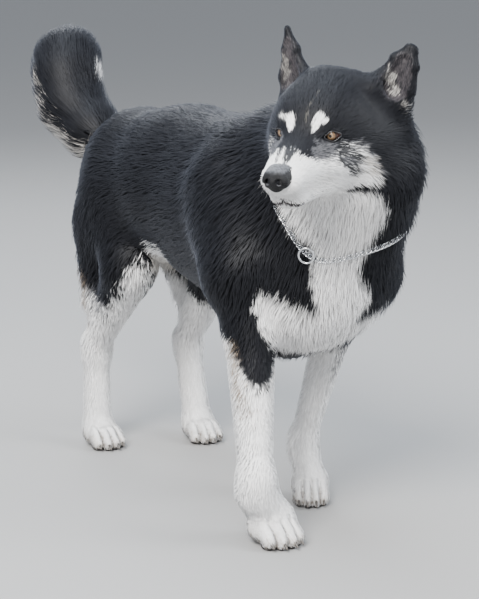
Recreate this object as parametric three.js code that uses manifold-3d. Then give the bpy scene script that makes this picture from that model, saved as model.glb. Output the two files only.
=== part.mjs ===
// Siberian husky standing on four paws, head turned to its right, tail curled up: a still, life-size model.
// Millimetres, +Z up. The dog faces -Y, its right side is -X and its left side is +X; the floor is z = 0.
import * as THREE from "three";
import Module from "manifold-3d";

const wasm = await Module();
wasm.setup();
const { Manifold, Mesh } = wasm;

// Sizes shared by several parts
const GAP = 0.3; // space between neighbouring parts
const EYE_RADIUS = 11.5;
const CHAIN_RADIUS = 4; // half the thickness of the twisted neck chain
const RING_RADIUS = 11.5; // centre line of the steel ring on the chain
const RING_WIRE = 1.8;
const CENTRE = new THREE.Vector3(6.7, 13.3, 0); // middle of the whole model, moved to x = y = 0 at the end

const v3 = (x, y, z) => new THREE.Vector3(x, y, z);
const X = v3(1, 0, 0);
const UP = v3(0, 0, 1);
const { degToRad, clamp, smoothstep } = THREE.MathUtils;

// Head frame: origin midway between the eyes, axes to the dog's left, forward along the muzzle, and up
const HEAD = v3(-74, -452, 621);
const TURN = degToRad(53.5); // to the dog's right
const NOD = degToRad(11);
const AHEAD = v3(-Math.sin(TURN) * Math.cos(NOD), -Math.cos(TURN) * Math.cos(NOD), -Math.sin(NOD));
const LEFT = UP.clone().cross(AHEAD).normalize();
const CROWN = AHEAD.clone().cross(LEFT);
const headPoint = (x, y, z) =>
  HEAD.clone().addScaledVector(LEFT, x).addScaledVector(AHEAD, y).addScaledVector(CROWN, z);
const headDirection = (x, y, z) =>
  v3(0, 0, 0).addScaledVector(LEFT, x).addScaledVector(AHEAD, y).addScaledVector(CROWN, z).normalize();

// A form is a rounded tube from a to b. Its half-widths (across, deep) change from ra to rb,
// cap is the length of its rounded ends, and blend is how softly it flows into the forms before it.
function form(a, b, ra, rb, blend, { side = X, cap = null, cut = false } = {}) {
  const axis = b.clone().sub(a);
  const length = axis.length();
  axis.normalize();
  const across = side.clone().addScaledVector(axis, -side.dot(axis)).normalize();
  return { a, axis, length, across, deep: across.clone().cross(axis), ra, rb, cap, blend, cut };
}

// Distance from a point to one form, below zero inside
function distance(f, x, y, z) {
  const px = x - f.a.x;
  const py = y - f.a.y;
  const pz = z - f.a.z;
  const along = px * f.axis.x + py * f.axis.y + pz * f.axis.z;
  const t = clamp(along / f.length, 0, 1);
  const s = smoothstep(t, 0, 1);
  const wide = f.ra[0] + (f.rb[0] - f.ra[0]) * s;
  const tall = f.ra[1] + (f.rb[1] - f.ra[1]) * s;
  const round = f.cap ? f.cap[0] + (f.cap[1] - f.cap[0]) * s : Math.min(wide, tall);
  const u = (px * f.across.x + py * f.across.y + pz * f.across.z) / wide;
  const v = (px * f.deep.x + py * f.deep.y + pz * f.deep.z) / tall;
  const w = (along - t * f.length) / round;
  const near = Math.hypot(u, v, w);
  return (near * (near - 1)) / (Math.hypot(u / wide, v / tall, w / round) + 1e-12);
}

// Soft union of two distances
function blendMin(a, b, k) {
  const h = Math.max(k - Math.abs(a - b), 0) / k;
  return Math.min(a, b) - (h * h * k) / 4;
}

function bodyDistance(forms, x, y, z) {
  let d = 1e6;
  for (const f of forms) {
    const one = distance(f, x, y, z);
    d = f.cut ? -blendMin(-d, one, f.blend) : blendMin(d, one, f.blend);
  }
  return d;
}

// Trunk: ribcage, loin, rump, withers, breast, brisket, breastbone and shoulders
const trunk = [
  form(v3(4, -150, 460), v3(-4, 110, 474), [120, 144], [114, 128], 40),
  form(v3(-6, 100, 490), v3(-22, 240, 492), [106, 114], [100, 102], 45),
  form(v3(-24, 236, 490), v3(-32, 284, 482), [96, 98], [82, 84], 45, { cap: [50, 46] }),
  form(v3(4, -180, 546), v3(0, 60, 556), [60, 54], [64, 50], 45),
  form(v3(16, -225, 430), v3(22, -280, 388), [124, 130], [108, 106], 45),
  form(v3(8, -190, 352), v3(0, 0, 378), [64, 56], [54, 42], 55),
  form(v3(24, -296, 344), v3(12, -236, 306), [80, 74], [62, 62], 40),
  form(v3(-62, -170, 515), v3(-90, -264, 392), [56, 68], [52, 64], 45),
  form(v3(76, -170, 515), v3(128, -264, 368), [58, 72], [58, 72], 45),
];

// Toes: four on each paw, the middle two reaching farther; `turn` is the paw's heading from -Y in degrees
const TOES = [-1, -0.36, 0.36, 1];
function pawFrame(paw, turn) {
  const ahead = v3(Math.sin(degToRad(turn)), -Math.cos(degToRad(turn)), 0);
  return { at: v3(paw[0], paw[1], 0), ahead, side: v3(ahead.y, -ahead.x, 0) };
}
function toePoint(p, toe, width, forward, z) {
  const reach = forward - 13 * Math.abs(toe) ** 1.5;
  return p.at.clone().addScaledVector(p.side, toe * 23 * width).addScaledVector(p.ahead, reach).setZ(z);
}
const toes = (p, width) =>
  TOES.map((t) =>
    form(toePoint(p, t * 0.85, width, 18, 26), toePoint(p, t, width, 40, 11.5), [11, 13], [10.5, 12.5], 7),
  );

// Foreleg from the point of the shoulder down: upper arm, forearm, wrist, pastern, paw
function foreleg({ paw, turn, width, elbow, top, wrist, stout }) {
  const p = pawFrame(paw, turn);
  const w = p.at.clone().addScaledVector(p.ahead, -wrist[1]).add(v3(wrist[0], 0, 88));
  const on = (forward, z) => p.at.clone().addScaledVector(p.ahead, forward).setZ(z);
  const half = (...sizes) => sizes.map((s) => s * stout);
  const low = on(-10, 36).addScaledVector(p.side, wrist[0] / 3);
  return [
    form(top, elbow.clone().add(v3(0, 0, 8)), [50, 58], [36, 42], 40),
    form(elbow.clone().add(v3(0, -2, 0)), w.clone().add(v3(0, 0, 10)), half(34, 43), half(26, 28), 30),
    form(w.clone().add(v3(0, 0, 12)), w.clone().add(v3(0, 0, -14)), half(28, 29), half(27, 28), 15, {
      side: p.side,
    }),
    form(w.clone().add(v3(0, 0, -10)), low, half(26, 27), [28 * width, 28], 20, { side: p.side }),
    form(on(-14, 23), on(20, 18), [35 * width, 27], [32 * width, 21], 18, { side: p.side }),
    ...toes(p, width),
  ];
}

// Hind leg: thigh, feathered back of the thigh, shank, hock, cannon, paw
function hindleg({ paw, turn, width, knee, hock, hip }) {
  const p = pawFrame(paw, turn);
  const on = (forward, z) => p.at.clone().addScaledVector(p.ahead, forward).setZ(z);
  const at = (from, x, y, z) => from.clone().add(v3(x, y, z));
  return [
    form(hip, at(knee, 0, 8, 12), [54, 84], [44, 48], 50),
    form(at(hip, 0, 42, -56), at(hock, 0, -14, 94), [48, 56], [32, 40], 45),
    form(at(knee, 0, 6, -4), at(hock, 0, -6, 14), [40, 44], [25, 30], 35),
    form(at(hock, 0, -2, 10), at(hock, 0, -2, -12), [24, 29], [23, 27], 18),
    form(at(hock, 0, 0, -4), on(-24, 40), [24, 27], [26, 26], 18),
    form(on(-14, 22), on(14, 18), [33 * width, 26], [30 * width, 21], 18, { side: p.side }),
    ...toes(p, width),
  ];
}

const LEGS = {
  fore_right: {
    paw: [-84, -376], turn: 4, width: 1.1, stout: 1.06,
    elbow: v3(-76, -274, 300), top: v3(-78, -254, 392), wrist: [-24, 12],
  },
  fore_left: {
    paw: [67, -207], turn: -24, width: 0.86, stout: 0.84,
    elbow: v3(96, -232, 300), top: v3(112, -248, 380), wrist: [-10, 34],
  },
  hind_right: {
    paw: [-98, 258], turn: 2, width: 0.96,
    knee: v3(-90, 148, 330), hock: v3(-96, 290, 170), hip: v3(-88, 232, 440),
  },
  hind_left: {
    paw: [76, 220], turn: -4, width: 0.96,
    knee: v3(66, 126, 330), hock: v3(76, 278, 168), hip: v3(44, 232, 440),
  },
};

// Neck with its thick ruff, leaning to the dog's left because the head is turned right
const neck = [
  form(headPoint(14, -112, -26), v3(26, -225, 470), [96, 94], [118, 128], 50, { side: LEFT, cap: [44, 110] }),
  form(headPoint(10, -118, -22), v3(4, -150, 545), [68, 58], [68, 56], 45, { side: LEFT, cap: [30, 60] }),
  form(headPoint(34, -112, -84), v3(58, -285, 410), [92, 84], [98, 84], 55, { side: LEFT, cap: [66, 84] }),
];

// Head: skull, cheeks, brow, bridge, muzzle, lower jaw and nose
const sideOfHead = { side: LEFT };
const cheek = (s) =>
  form(headPoint(30 * s, 0, -40), headPoint(60 * s, -82, -36), [28, 32], [36, 50], 30, sideOfHead);
const head = [
  form(headPoint(0, -58, 0), headPoint(0, -84, -2), [77, 68], [79, 70], 26, { side: LEFT, cap: [64, 64] }),
  form(headPoint(-14, -84, 47), headPoint(64, -98, 41), [30, 25], [24, 21], 24, { side: AHEAD }),
  form(headPoint(97, -118, 14), headPoint(90, -120, -20), [19, 20], [22, 24], 22, sideOfHead),
  cheek(1),
  cheek(-1),
  form(headPoint(-22, -16, 12), headPoint(22, -16, 12), [20, 22], [20, 22], 30, { side: AHEAD }),
  form(headPoint(0, -20, 4), headPoint(0, 62, -26), [33, 26], [25, 16], 26, sideOfHead),
  form(headPoint(0, -10, -38), headPoint(0, 84, -42), [50, 36], [34, 27], 22, sideOfHead),
  form(headPoint(0, -44, -70), headPoint(0, 74, -72), [50, 24], [28, 15], 16, sideOfHead),
  form(headPoint(0, 99, -35), headPoint(0, 108, -36), [18.5, 18], [17, 16], 7, sideOfHead),
];

// Ears: erect, pointed, the left one leaning a little farther out; each is hollowed at the front
const EARS = {
  left: {
    s: 1, root: [66, -102, 8], middle: [91, -112, 46], bend: [103, -121, 74], tip: [112, -129, 92],
    wide: [30, 32, 23, 12],
  },
  right: {
    s: -1, root: [-58, -100, 8], middle: [-67, -110, 52], bend: [-74, -119, 87], tip: [-80, -126, 115],
    wide: [28, 28, 16.5, 6],
  },
};
function ear({ s, root, middle, bend, tip, wide }) {
  const side = LEFT.clone().multiplyScalar(0.97 * s).addScaledVector(AHEAD, -0.22);
  const [w0, w1, w2, w3] = wide;
  return [
    form(headPoint(...root), headPoint(...middle), [w0, 24], [w1, 13], 16, { side, cap: [20, 13] }),
    form(headPoint(...middle), headPoint(...bend), [w1, 13], [w2, 9], 6, { side, cap: [13, 9] }),
    form(headPoint(...bend), headPoint(...tip), [w2, 9], [w3, 6], 6, { side, cap: [9, 8] }),
  ];
}
function earHollow({ s, middle, tip, wide }) {
  const side = LEFT.clone().multiplyScalar(0.97 * s).addScaledVector(AHEAD, -0.22);
  const [mx, my, mz] = middle;
  const [tx, ty, tz] = tip;
  const low = headPoint(mx, my + 13, mz - 6);
  const high = headPoint(mx + (tx - mx) * 0.72, my + (ty - my) * 0.72 + 9, mz + (tz - mz) * 0.72);
  return form(low, high, [0.6 * wide[1], 10], [0.4 * wide[2], 4], 4, { side, cut: true, cap: [12, 6] });
}

// Tail: a plume rising from the rump, leaning right, its tip curled over and down on the left
const TAIL = [
  [-40, 330, 520, 38], [-60, 386, 548, 50], [-78, 436, 590, 56], [-78, 458, 638, 56],
  [-70, 478, 666, 53], [-52, 498, 674, 45], [-32, 516, 660, 35], [-21, 523, 638, 27],
];
const tailPoint = (i) => v3(TAIL[i][0], TAIL[i][1], TAIL[i][2]);
const tail = TAIL.slice(1).map((end, i) => {
  const [r, s] = [TAIL[i][3], end[3]];
  return form(tailPoint(i), tailPoint(i + 1), [r, r], [s, s], 25);
});

// Openings for the eyes, the nostrils and the hollows of the ears
const eyeCentre = (s) => headPoint(37 * s, -7, -1);
const eyeOpening = (s) =>
  form(headPoint(35 * s, 8, -1), headPoint(44 * s, 4, -1), [9, 9], [8, 8], 6, { side: CROWN, cut: true });
const nostril = (s) =>
  form(headPoint(8 * s, 125, -34), headPoint(13 * s, 118, -37), [4, 4], [3, 4], 2, {
    side: CROWN,
    cut: true,
  });

const body = [
  ...trunk,
  ...foreleg(LEGS.fore_right),
  ...foreleg(LEGS.fore_left),
  ...hindleg(LEGS.hind_right),
  ...hindleg(LEGS.hind_left),
  ...neck,
  ...head,
  ...tail,
  ...ear(EARS.left),
  ...ear(EARS.right),
  earHollow(EARS.left),
  earHollow(EARS.right),
  eyeOpening(1),
  eyeOpening(-1),
  nostril(1),
  nostril(-1),
];
const field = (x, y, z) => bodyDistance(body, x, y, z);

// Direction in which the distance grows fastest, that is, out of the surface
function slope(p) {
  const e = 0.5;
  return v3(
    field(p.x + e, p.y, p.z) - field(p.x - e, p.y, p.z),
    field(p.x, p.y + e, p.z) - field(p.x, p.y - e, p.z),
    field(p.x, p.y, p.z + e) - field(p.x, p.y, p.z - e),
  ).divideScalar(2 * e);
}

// A closed solid from a list of points and the triangles between them
function solidFrom(points, triangles) {
  const mesh = new Mesh({
    numProp: 3,
    vertProperties: new Float32Array(points.flatMap((p) => [p.x, p.y, p.z])),
    triVerts: new Uint32Array(triangles.flat()),
  });
  mesh.merge();
  return new Manifold(mesh);
}

// The twelve edges of a cell: direction d, and a and b steps along the next two axes
const EDGES = Array.from({ length: 12 }, (_, n) => {
  const [d, a, b] = [n >> 2, (n >> 1) & 1, n & 1];
  const from = [0, 0, 0];
  from[(d + 1) % 3] = a;
  from[(d + 2) % 3] = b;
  const to = [...from];
  to[d] = 1;
  return { from, to };
});
const edgeOf = (d, at) => d * 4 + at[(d + 1) % 3] * 2 + at[(d + 2) % 3];

// Which crossed edges of a cell belong to the same sheet of the surface
function sheets(isInside, crossed) {
  const sheet = crossed.map((c, n) => (c ? n : -1));
  const join = (a, b) => {
    const [from, to] = [sheet[b], sheet[a]];
    sheet.forEach((one, n) => one === from && (sheet[n] = to));
  };
  for (let m = 0; m < 3; m++)
    for (let s = 0; s < 2; s++) {
      const [p, q] = [(m + 1) % 3, (m + 2) % 3];
      const corners = [[0, 0], [0, 1], [1, 0], [1, 1]].map(([u, v]) => {
        const at = [0, 0, 0];
        at[m] = s;
        at[p] = u;
        at[q] = v;
        return at;
      });
      const rim = corners.map((at) => [edgeOf(p, at), edgeOf(q, at)]);
      const used = [...new Set(rim.flat())].filter((n) => crossed[n]);
      if (used.length === 2) join(used[0], used[1]);
      if (used.length === 4)
        corners.forEach((at, n) => isInside(at) && join(rim[n][0], rim[n][1]));
    }
  return sheet;
}

// The body's surface inside a box, as facets about `step` across: one point for each sheet of it in
// each cell, and two triangles across each cell edge that it crosses
function surface(low, high, step) {
  const n = ["x", "y", "z"].map((k) => Math.ceil((high[k] - low[k]) / step) + 1);
  const at = (i, j, k) => i + n[0] * (j + n[1] * k);
  const values = new Float32Array(n[0] * n[1] * n[2]);
  for (let k = 0; k < n[2]; k++)
    for (let j = 0; j < n[1]; j++)
      for (let i = 0; i < n[0]; i++) {
        const rim = !i || !j || !k || i === n[0] - 1 || j === n[1] - 1 || k === n[2] - 1;
        const d = field(low.x + i * step, low.y + j * step, low.z + k * step);
        values[at(i, j, k)] = rim ? Math.max(d, step / 2) : d;
      }
  const points = [];
  const pointOn = new Int32Array(values.length * 12).fill(-1);
  for (let k = 0; k < n[2] - 1; k++)
    for (let j = 0; j < n[1] - 1; j++)
      for (let i = 0; i < n[0] - 1; i++) {
        const value = (c) => values[at(i + c[0], j + c[1], k + c[2])];
        const crossed = EDGES.map((e) => value(e.from) < 0 !== value(e.to) < 0);
        if (!crossed.includes(true)) continue;
        const sheet = sheets((c) => value(c) < 0, crossed);
        for (const one of new Set(sheet.filter((id) => id >= 0))) {
          const sum = v3(0, 0, 0);
          const own = sheet.flatMap((id, e) => (id === one ? [e] : []));
          for (const e of own) {
            const { from, to } = EDGES[e];
            const t = value(from) / (value(from) - value(to));
            sum.add(v3(...from.map((q, m) => q + (to[m] - q) * t)));
            pointOn[at(i, j, k) * 12 + e] = points.length;
          }
          points.push(sum.divideScalar(own.length).add(v3(i, j, k)).multiplyScalar(step).add(low));
        }
      }
  // Draw each point onto the surface itself, unless it lies on the side of the box
  const inner = (p, k) => p[k] > low[k] + step * 1.5 && p[k] < high[k] - step * 1.5;
  for (const p of points) {
    if (!inner(p, "x") || !inner(p, "y") || !inner(p, "z")) continue;
    for (let pass = 0; pass < 2; pass++) {
      const out = slope(p);
      const move = -field(p.x, p.y, p.z) / Math.max(out.lengthSq(), 0.2);
      p.addScaledVector(out, clamp(move, -step / 4, step / 4));
    }
  }
  const triangles = [];
  const steps = [[1, 0, 0], [0, 1, 0], [0, 0, 1]];
  for (let k = 0; k < n[2] - 1; k++)
    for (let j = 0; j < n[1] - 1; j++)
      for (let i = 0; i < n[0] - 1; i++)
        for (let d = 0; d < 3; d++) {
          if ([i, j, k].some((q, m) => m !== d && q === 0)) continue;
          const isInside = values[at(i, j, k)] < 0;
          if (isInside === values[at(i + steps[d][0], j + steps[d][1], k + steps[d][2])] < 0) continue;
          const [e, f] = [steps[(d + 1) % 3], steps[(d + 2) % 3]];
          const quad = [[1, 1], [0, 1], [0, 0], [1, 0]].map(([a, b]) => {
            const cell = at(i - a * e[0] - b * f[0], j - a * e[1] - b * f[1], k - a * e[2] - b * f[2]);
            return pointOn[cell * 12 + d * 4 + a * 2 + b];
          });
          if (!isInside) quad.reverse();
          const [a, b, c, g] = quad;
          const shorter = points[a].distanceTo(points[c]) < points[b].distanceTo(points[g]);
          triangles.push(...(shorter ? [[a, b, c], [a, c, g]] : [[a, b, g], [b, c, g]]));
        }
  return solidFrom(points, triangles);
}

// A three.js geometry as a closed solid
function solidOf(geometry) {
  const flat = geometry.index ? geometry.toNonIndexed() : geometry;
  const position = flat.getAttribute("position");
  const points = [];
  const index = new Map();
  const ids = [];
  for (let i = 0; i < position.count; i++) {
    const p = v3().fromBufferAttribute(position, i);
    const key = [p.x, p.y, p.z].map((q) => Math.round(q * 1e4)).join();
    if (!index.has(key)) index.set(key, points.push(p) - 1);
    ids.push(index.get(key));
  }
  const triangles = [];
  for (let i = 0; i < ids.length; i += 3) {
    const t = ids.slice(i, i + 3);
    if (new Set(t).size === 3) triangles.push(t);
  }
  return solidFrom(points, triangles);
}

// Everything on the side of a plane that its normal points away from, moved out by `grow`
const FAR = 900;
function behind([point, normal], grow = 0) {
  const n = normal.clone().normalize();
  const turn = new THREE.Quaternion().setFromUnitVectors(UP, n);
  const middle = point.clone().addScaledVector(n, grow - FAR);
  const box = new THREE.BoxGeometry(2 * FAR, 2 * FAR, 2 * FAR);
  return solidOf(box.applyMatrix4(new THREE.Matrix4().compose(middle, turn, v3(1, 1, 1))));
}
const region = (planes, grow = 0) =>
  planes.map((p) => behind(p, grow)).reduce((all, one) => all.intersect(one));

// Planes that divide the body, each as a point and the direction of its front side
const plane = (point, normal) => [point, normal.clone().normalize()];
const flip = ([point, normal]) => [point, normal.clone().negate()];
const BEHIND_HEAD = plane(headPoint(0, -150, 60), headDirection(0, 0.806, 0.591));
const NECK_BASE = plane(v3(24, -270, 480), v3(-0.035, -0.775, 0.63));
const CHEST_END = plane(v3(0, -84, 0), v3(0, 1, 0));
const FLANK_END = plane(v3(0, 120, 0), v3(0, 1, 0));
const MOUTH = plane(headPoint(0, 0, -60), headDirection(0, 0, -1));
const MOUTH_CORNER = plane(headPoint(0, 4, 0), AHEAD);
const NOSE_BACK = plane(headPoint(0, 97, 0), AHEAD);
const NOSE_UNDER = plane(headPoint(0, 0, -53), CROWN);
const earRoot = ({ middle, tip }) =>
  plane(headPoint(middle[0] - 3, middle[1] + 2, middle[2] - 5), headPoint(...tip).sub(headPoint(...middle)));
const TAIL_ROOT = plane(v3(-52, 366, 538), v3(-0.2, 0.65, 0.73));
const TAIL_MIDDLE = plane(v3(-79, 447, 612), v3(0, 0.42, 0.91));
const TAIL_TOP = plane(v3(-52, 498, 674), v3(0.7, 0.7, -0.11));
const level = (z) => plane(v3(0, 0, z), UP);

// Half of the slit between two neighbours is taken from each
const inside = (planes) => region(planes, -GAP / 2);
const around = (planes) => region(planes, GAP / 2);

// Regions as lists of planes that they lie behind
const FORE_TOP = {
  right: plane(v3(-80, -262, 298), v3(0.604, 0, 0.797)),
  left: plane(v3(100, -240, 296), v3(-0.604, 0, 0.797)),
};
const HIND_TOP = {
  right: plane(v3(-85, 200, 350), v3(0.64, 0, 0.77)),
  left: plane(v3(60, 200, 346), v3(-0.64, 0, 0.77)),
};
const STIFLE = plane(v3(0, 76, 300), v3(0, -0.94, 0.337));
const half = { right: plane(v3(-8, 0, 0), X), left: plane(v3(-8, 0, 0), v3(-1, 0, 0)) };
const legRegion = (end, side) =>
  end === "fore"
    ? [FORE_TOP[side], half[side], CHEST_END]
    : [HIND_TOP[side], half[side], STIFLE];
const tailRegion = [flip(TAIL_ROOT), flip(level(500))];
const headRegion = [flip(BEHIND_HEAD)];
const earRegion = (e) => [
  flip(BEHIND_HEAD),
  flip(earRoot(e)),
  plane(headPoint(24 * e.s, 0, 0), LEFT.clone().multiplyScalar(-e.s)),
];
const jawRegion = [flip(MOUTH), flip(MOUTH_CORNER)];
const noseRegion = [flip(NOSE_BACK), flip(NOSE_UNDER)];

// Neck chain: a loop round the neck that droops at the throat and lies deeper in the coat elsewhere
const LOOP = { middle: v3(10, -327, 537), normal: v3(-0.127, -0.682, 0.72).normalize() };
const loopSide = v3(0.983, -0.183, 0);
const loopFront = loopSide.clone().cross(LOOP.normal).normalize();
function chainPoint(angle) {
  const turn = Math.abs(angle) > Math.PI ? 2 * Math.PI - Math.abs(angle) : Math.abs(angle);
  const signed = angle > Math.PI ? angle - 2 * Math.PI : angle;
  const droop = -36 * Math.exp(-(((signed + 0.17) / 0.5) ** 2));
  const depth = 2 + 12 * smoothstep(turn, 0.75, 1.5);
  const out = loopFront.clone().multiplyScalar(Math.cos(angle)).addScaledVector(loopSide, Math.sin(angle));
  const start = LOOP.middle.clone().addScaledVector(LOOP.normal, droop);
  start.addScaledVector(out, 40);
  while (field(start.x, start.y, start.z) < -depth) start.add(out);
  return start;
}
const CHAIN_STEPS = 26;
const chainPath = new THREE.CatmullRomCurve3(
  Array.from({ length: CHAIN_STEPS }, (_, i) => chainPoint((i * 2 * Math.PI) / CHAIN_STEPS)),
  true,
);
const chainTube = (radius) => solidOf(new THREE.TubeGeometry(chainPath, CHAIN_STEPS, radius, 5, true));

// Steel ring lying flat on the coat, outside the chain
const ringAngle = -0.28;
const ringAt = chainPoint(ringAngle);
const ringOut = slope(ringAt).normalize();
const ringGeometry = () =>
  new THREE.TorusGeometry(RING_RADIUS, RING_WIRE, 5, 16).applyMatrix4(
    new THREE.Matrix4().compose(
      ringAt.clone().addScaledVector(ringOut, CHAIN_RADIUS + RING_WIRE + GAP),
      new THREE.Quaternion().setFromUnitVectors(UP, ringOut),
      v3(1, 1, 1),
    ),
  );

// A claw: a short cone, bent down, set into the end of its toe
function claw(p, toe, width, grow = 0) {
  const shape = new THREE.CylinderGeometry(0.8 + grow, 3.5 + grow, 16 + 2 * grow, 5, 2);
  const position = shape.getAttribute("position");
  for (let i = 0; i < position.count; i++) {
    const along = position.getY(i) / 16 + 0.5;
    position.setX(i, position.getX(i) + 3 * along * along);
  }
  const ahead = toePoint(p, toe, width, 60, 5.5).sub(toePoint(p, toe, width, 46, 12.5));
  const y = ahead.clone().normalize();
  const x = v3(0, 0, -1).addScaledVector(y, y.z).normalize();
  const basis = new THREE.Matrix4().makeBasis(x, y, x.clone().cross(y));
  basis.setPosition(toePoint(p, toe, width, 52, 10.5));
  return solidOf(shape.applyMatrix4(basis));
}

// Coat, horn, eye and steel colours
const finish = (color, roughness, metalness = 0) => ({ color, roughness, metalness });
const BLACK_COAT = finish("#1b1c21", 0.85);
const WHITE_COAT = finish("#d8d4cb", 0.88);
const NOSE_LEATHER = finish("#15151a", 0.4);
const EYE = finish("#6e451c", 0.08);
const HORN = finish("#2c2825", 0.45);
const STEEL = finish("#c9ccd1", 0.22, 1);

const dog = new THREE.Group();
dog.name = "siberian_husky";
function add(name, solid, look) {
  const { vertProperties, triVerts } = solid.getMesh();
  const geometry = new THREE.BufferGeometry()
    .setAttribute("position", new THREE.BufferAttribute(new Float32Array(vertProperties), 3))
    .setIndex(new THREE.BufferAttribute(new Uint32Array(triVerts), 1))
    .translate(-CENTRE.x, -CENTRE.y, 0);
  geometry.computeVertexNormals();
  const mesh = new THREE.Mesh(geometry, new THREE.MeshStandardMaterial(look));
  mesh.name = name;
  dog.add(mesh);
}
const without = (solid, ...others) => others.reduce((rest, one) => rest.subtract(one), solid);

// Trunk in three lengths, less the regions of the legs, neck and tail
const low = v3(-250, -480, 200);
const high = v3(250, 480, 700);
const trunkSkin = surface(low, high, 48);
const limbs = [
  around(legRegion("fore", "right")),
  around(legRegion("fore", "left")),
  around(legRegion("hind", "right")),
  around(legRegion("hind", "left")),
  around(tailRegion),
];
add("chest", without(trunkSkin.intersect(inside([CHEST_END, NECK_BASE])), ...limbs), BLACK_COAT);
add("loin", without(trunkSkin.intersect(inside([flip(CHEST_END), FLANK_END])), ...limbs), BLACK_COAT);
add("rump", without(trunkSkin.intersect(inside([flip(FLANK_END)])), ...limbs), BLACK_COAT);

// Neck, with a channel for the chain
const neckSkin = surface(v3(-260, -560, 300), v3(260, -40, 800), 43);
add(
  "neck",
  neckSkin.intersect(inside([BEHIND_HEAD, flip(NECK_BASE)])).subtract(chainTube(CHAIN_RADIUS + GAP * 1.3)),
  BLACK_COAT,
);
add("neck_chain", chainTube(CHAIN_RADIUS), STEEL);
add("chain_ring", solidOf(ringGeometry()), STEEL);

// Head, less the ears, lower jaw, nose and eyes
const reach = v3(175, 175, 150);
const headSkin = surface(HEAD.clone().sub(reach), HEAD.clone().add(reach), 15);
const socket = (s) =>
  solidOf(new THREE.SphereGeometry(EYE_RADIUS + GAP, 10, 7).translate(...eyeCentre(s).toArray()));
add(
  "head",
  without(
    headSkin.intersect(inside(headRegion)),
    around(earRegion(EARS.left)),
    around(earRegion(EARS.right)),
    around(jawRegion),
    around(noseRegion),
    socket(1),
    socket(-1),
  ),
  BLACK_COAT,
);
add("lower_jaw", headSkin.intersect(inside(jawRegion)), WHITE_COAT);
const noseLow = headPoint(0, 108, -35).sub(v3(40, 40, 40));
const noseSkin = surface(noseLow, noseLow.clone().add(v3(80, 80, 80)), 9);
add("nose", noseSkin.intersect(inside(noseRegion)), NOSE_LEATHER);
for (const [side, e] of Object.entries(EARS)) {
  const middle = headPoint(...e.middle);
  const skin = surface(middle.clone().sub(v3(80, 80, 50)), middle.clone().add(v3(80, 80, 90)), 10);
  add("ear_" + side, skin.intersect(inside(earRegion(e))), BLACK_COAT);
  const ball = new THREE.SphereGeometry(EYE_RADIUS, 10, 7).translate(...eyeCentre(e.s).toArray());
  add("eye_" + side, solidOf(ball), EYE);
}

// Tail in three lengths
const tailSkin = surface(v3(-180, 300, 460), v3(90, 620, 790), 34);
add("tail_root", tailSkin.intersect(inside([...tailRegion, TAIL_MIDDLE])), BLACK_COAT);
add("tail_plume", tailSkin.intersect(inside([flip(TAIL_MIDDLE), TAIL_TOP])), BLACK_COAT);
add("tail_tip", tailSkin.intersect(inside([flip(TAIL_MIDDLE), flip(TAIL_TOP)])), BLACK_COAT);

// Legs: each in two or three lengths, the soles cut flat on the floor, with four claws to a paw
for (const [name, leg] of Object.entries(LEGS)) {
  const [end, side] = name.split("_");
  const [x, y] = leg.paw;
  const p = pawFrame(leg.paw, leg.turn);
  const planes = legRegion(end, side);
  const above = end === "fore" ? 92 : 62;
  const upper = surface(v3(x - 130, y - 150, 30), v3(x + 130, y + 260, 520), 29);
  if (end === "fore") {
    add("foreleg_" + side, upper.intersect(inside([...planes, flip(level(above))])), WHITE_COAT);
  } else {
    add("thigh_" + side, upper.intersect(inside([...planes, flip(level(205))])), BLACK_COAT);
    add("hock_" + side, upper.intersect(inside([...planes, level(205), flip(level(above))])), WHITE_COAT);
  }
  const foot = surface(v3(x - 80, y - 80, -30), v3(x + 80, y + 100, above + 30), 20);
  const sole = foot.intersect(inside([...planes, level(above)])).intersect(behind(flip(level(0))));
  const ends = TOES.map((t) => claw(p, t, leg.width, GAP));
  add(end + "paw_" + side, without(sole, ...ends), WHITE_COAT);
  TOES.forEach((t, i) => add(end + "claw_" + side + "_" + (i + 1), claw(p, t, leg.width), HORN));
}

export default dog;
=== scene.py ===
# %% [markdown]
# # A Siberian husky with a coat of mesh tufts
#
# A life-size museum model of a husky: it stands on four paws, looks to its right and
# carries its tail curled up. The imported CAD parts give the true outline, out to the tips
# of the coat. Here the flesh becomes one seamless skin a little inside that outline, and
# the coat is laid over it as many thousand thin tufts.

# %% The frame
import math

import bpy
import numpy as np
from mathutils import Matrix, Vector


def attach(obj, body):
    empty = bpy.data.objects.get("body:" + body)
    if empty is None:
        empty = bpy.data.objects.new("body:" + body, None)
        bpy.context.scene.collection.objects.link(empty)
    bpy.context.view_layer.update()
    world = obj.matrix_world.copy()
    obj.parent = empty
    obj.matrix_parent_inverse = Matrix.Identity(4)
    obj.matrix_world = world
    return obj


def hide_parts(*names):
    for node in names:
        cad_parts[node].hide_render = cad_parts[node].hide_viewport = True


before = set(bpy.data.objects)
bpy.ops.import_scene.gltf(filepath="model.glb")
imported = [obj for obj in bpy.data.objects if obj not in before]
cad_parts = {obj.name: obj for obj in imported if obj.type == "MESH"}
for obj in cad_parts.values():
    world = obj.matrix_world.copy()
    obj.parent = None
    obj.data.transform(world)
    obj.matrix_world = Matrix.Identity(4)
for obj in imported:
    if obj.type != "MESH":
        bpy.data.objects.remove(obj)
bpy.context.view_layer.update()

rng = np.random.default_rng(7)

# %% [markdown]
# ## Camera, floor and light
# The camera stands about three metres away, in front and to the dog's right, and higher than
# its head, so it looks down by some eleven degrees. A long lens keeps the proportions calm.
# A studio uses one large soft lamp to model the form, a broad fill, and a lamp from behind
# that draws the edge of a black coat. Three of the four area lamps below are those, and the
# fourth is wide and cool and hangs overhead, to give the black back its bluish sheen.

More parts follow.
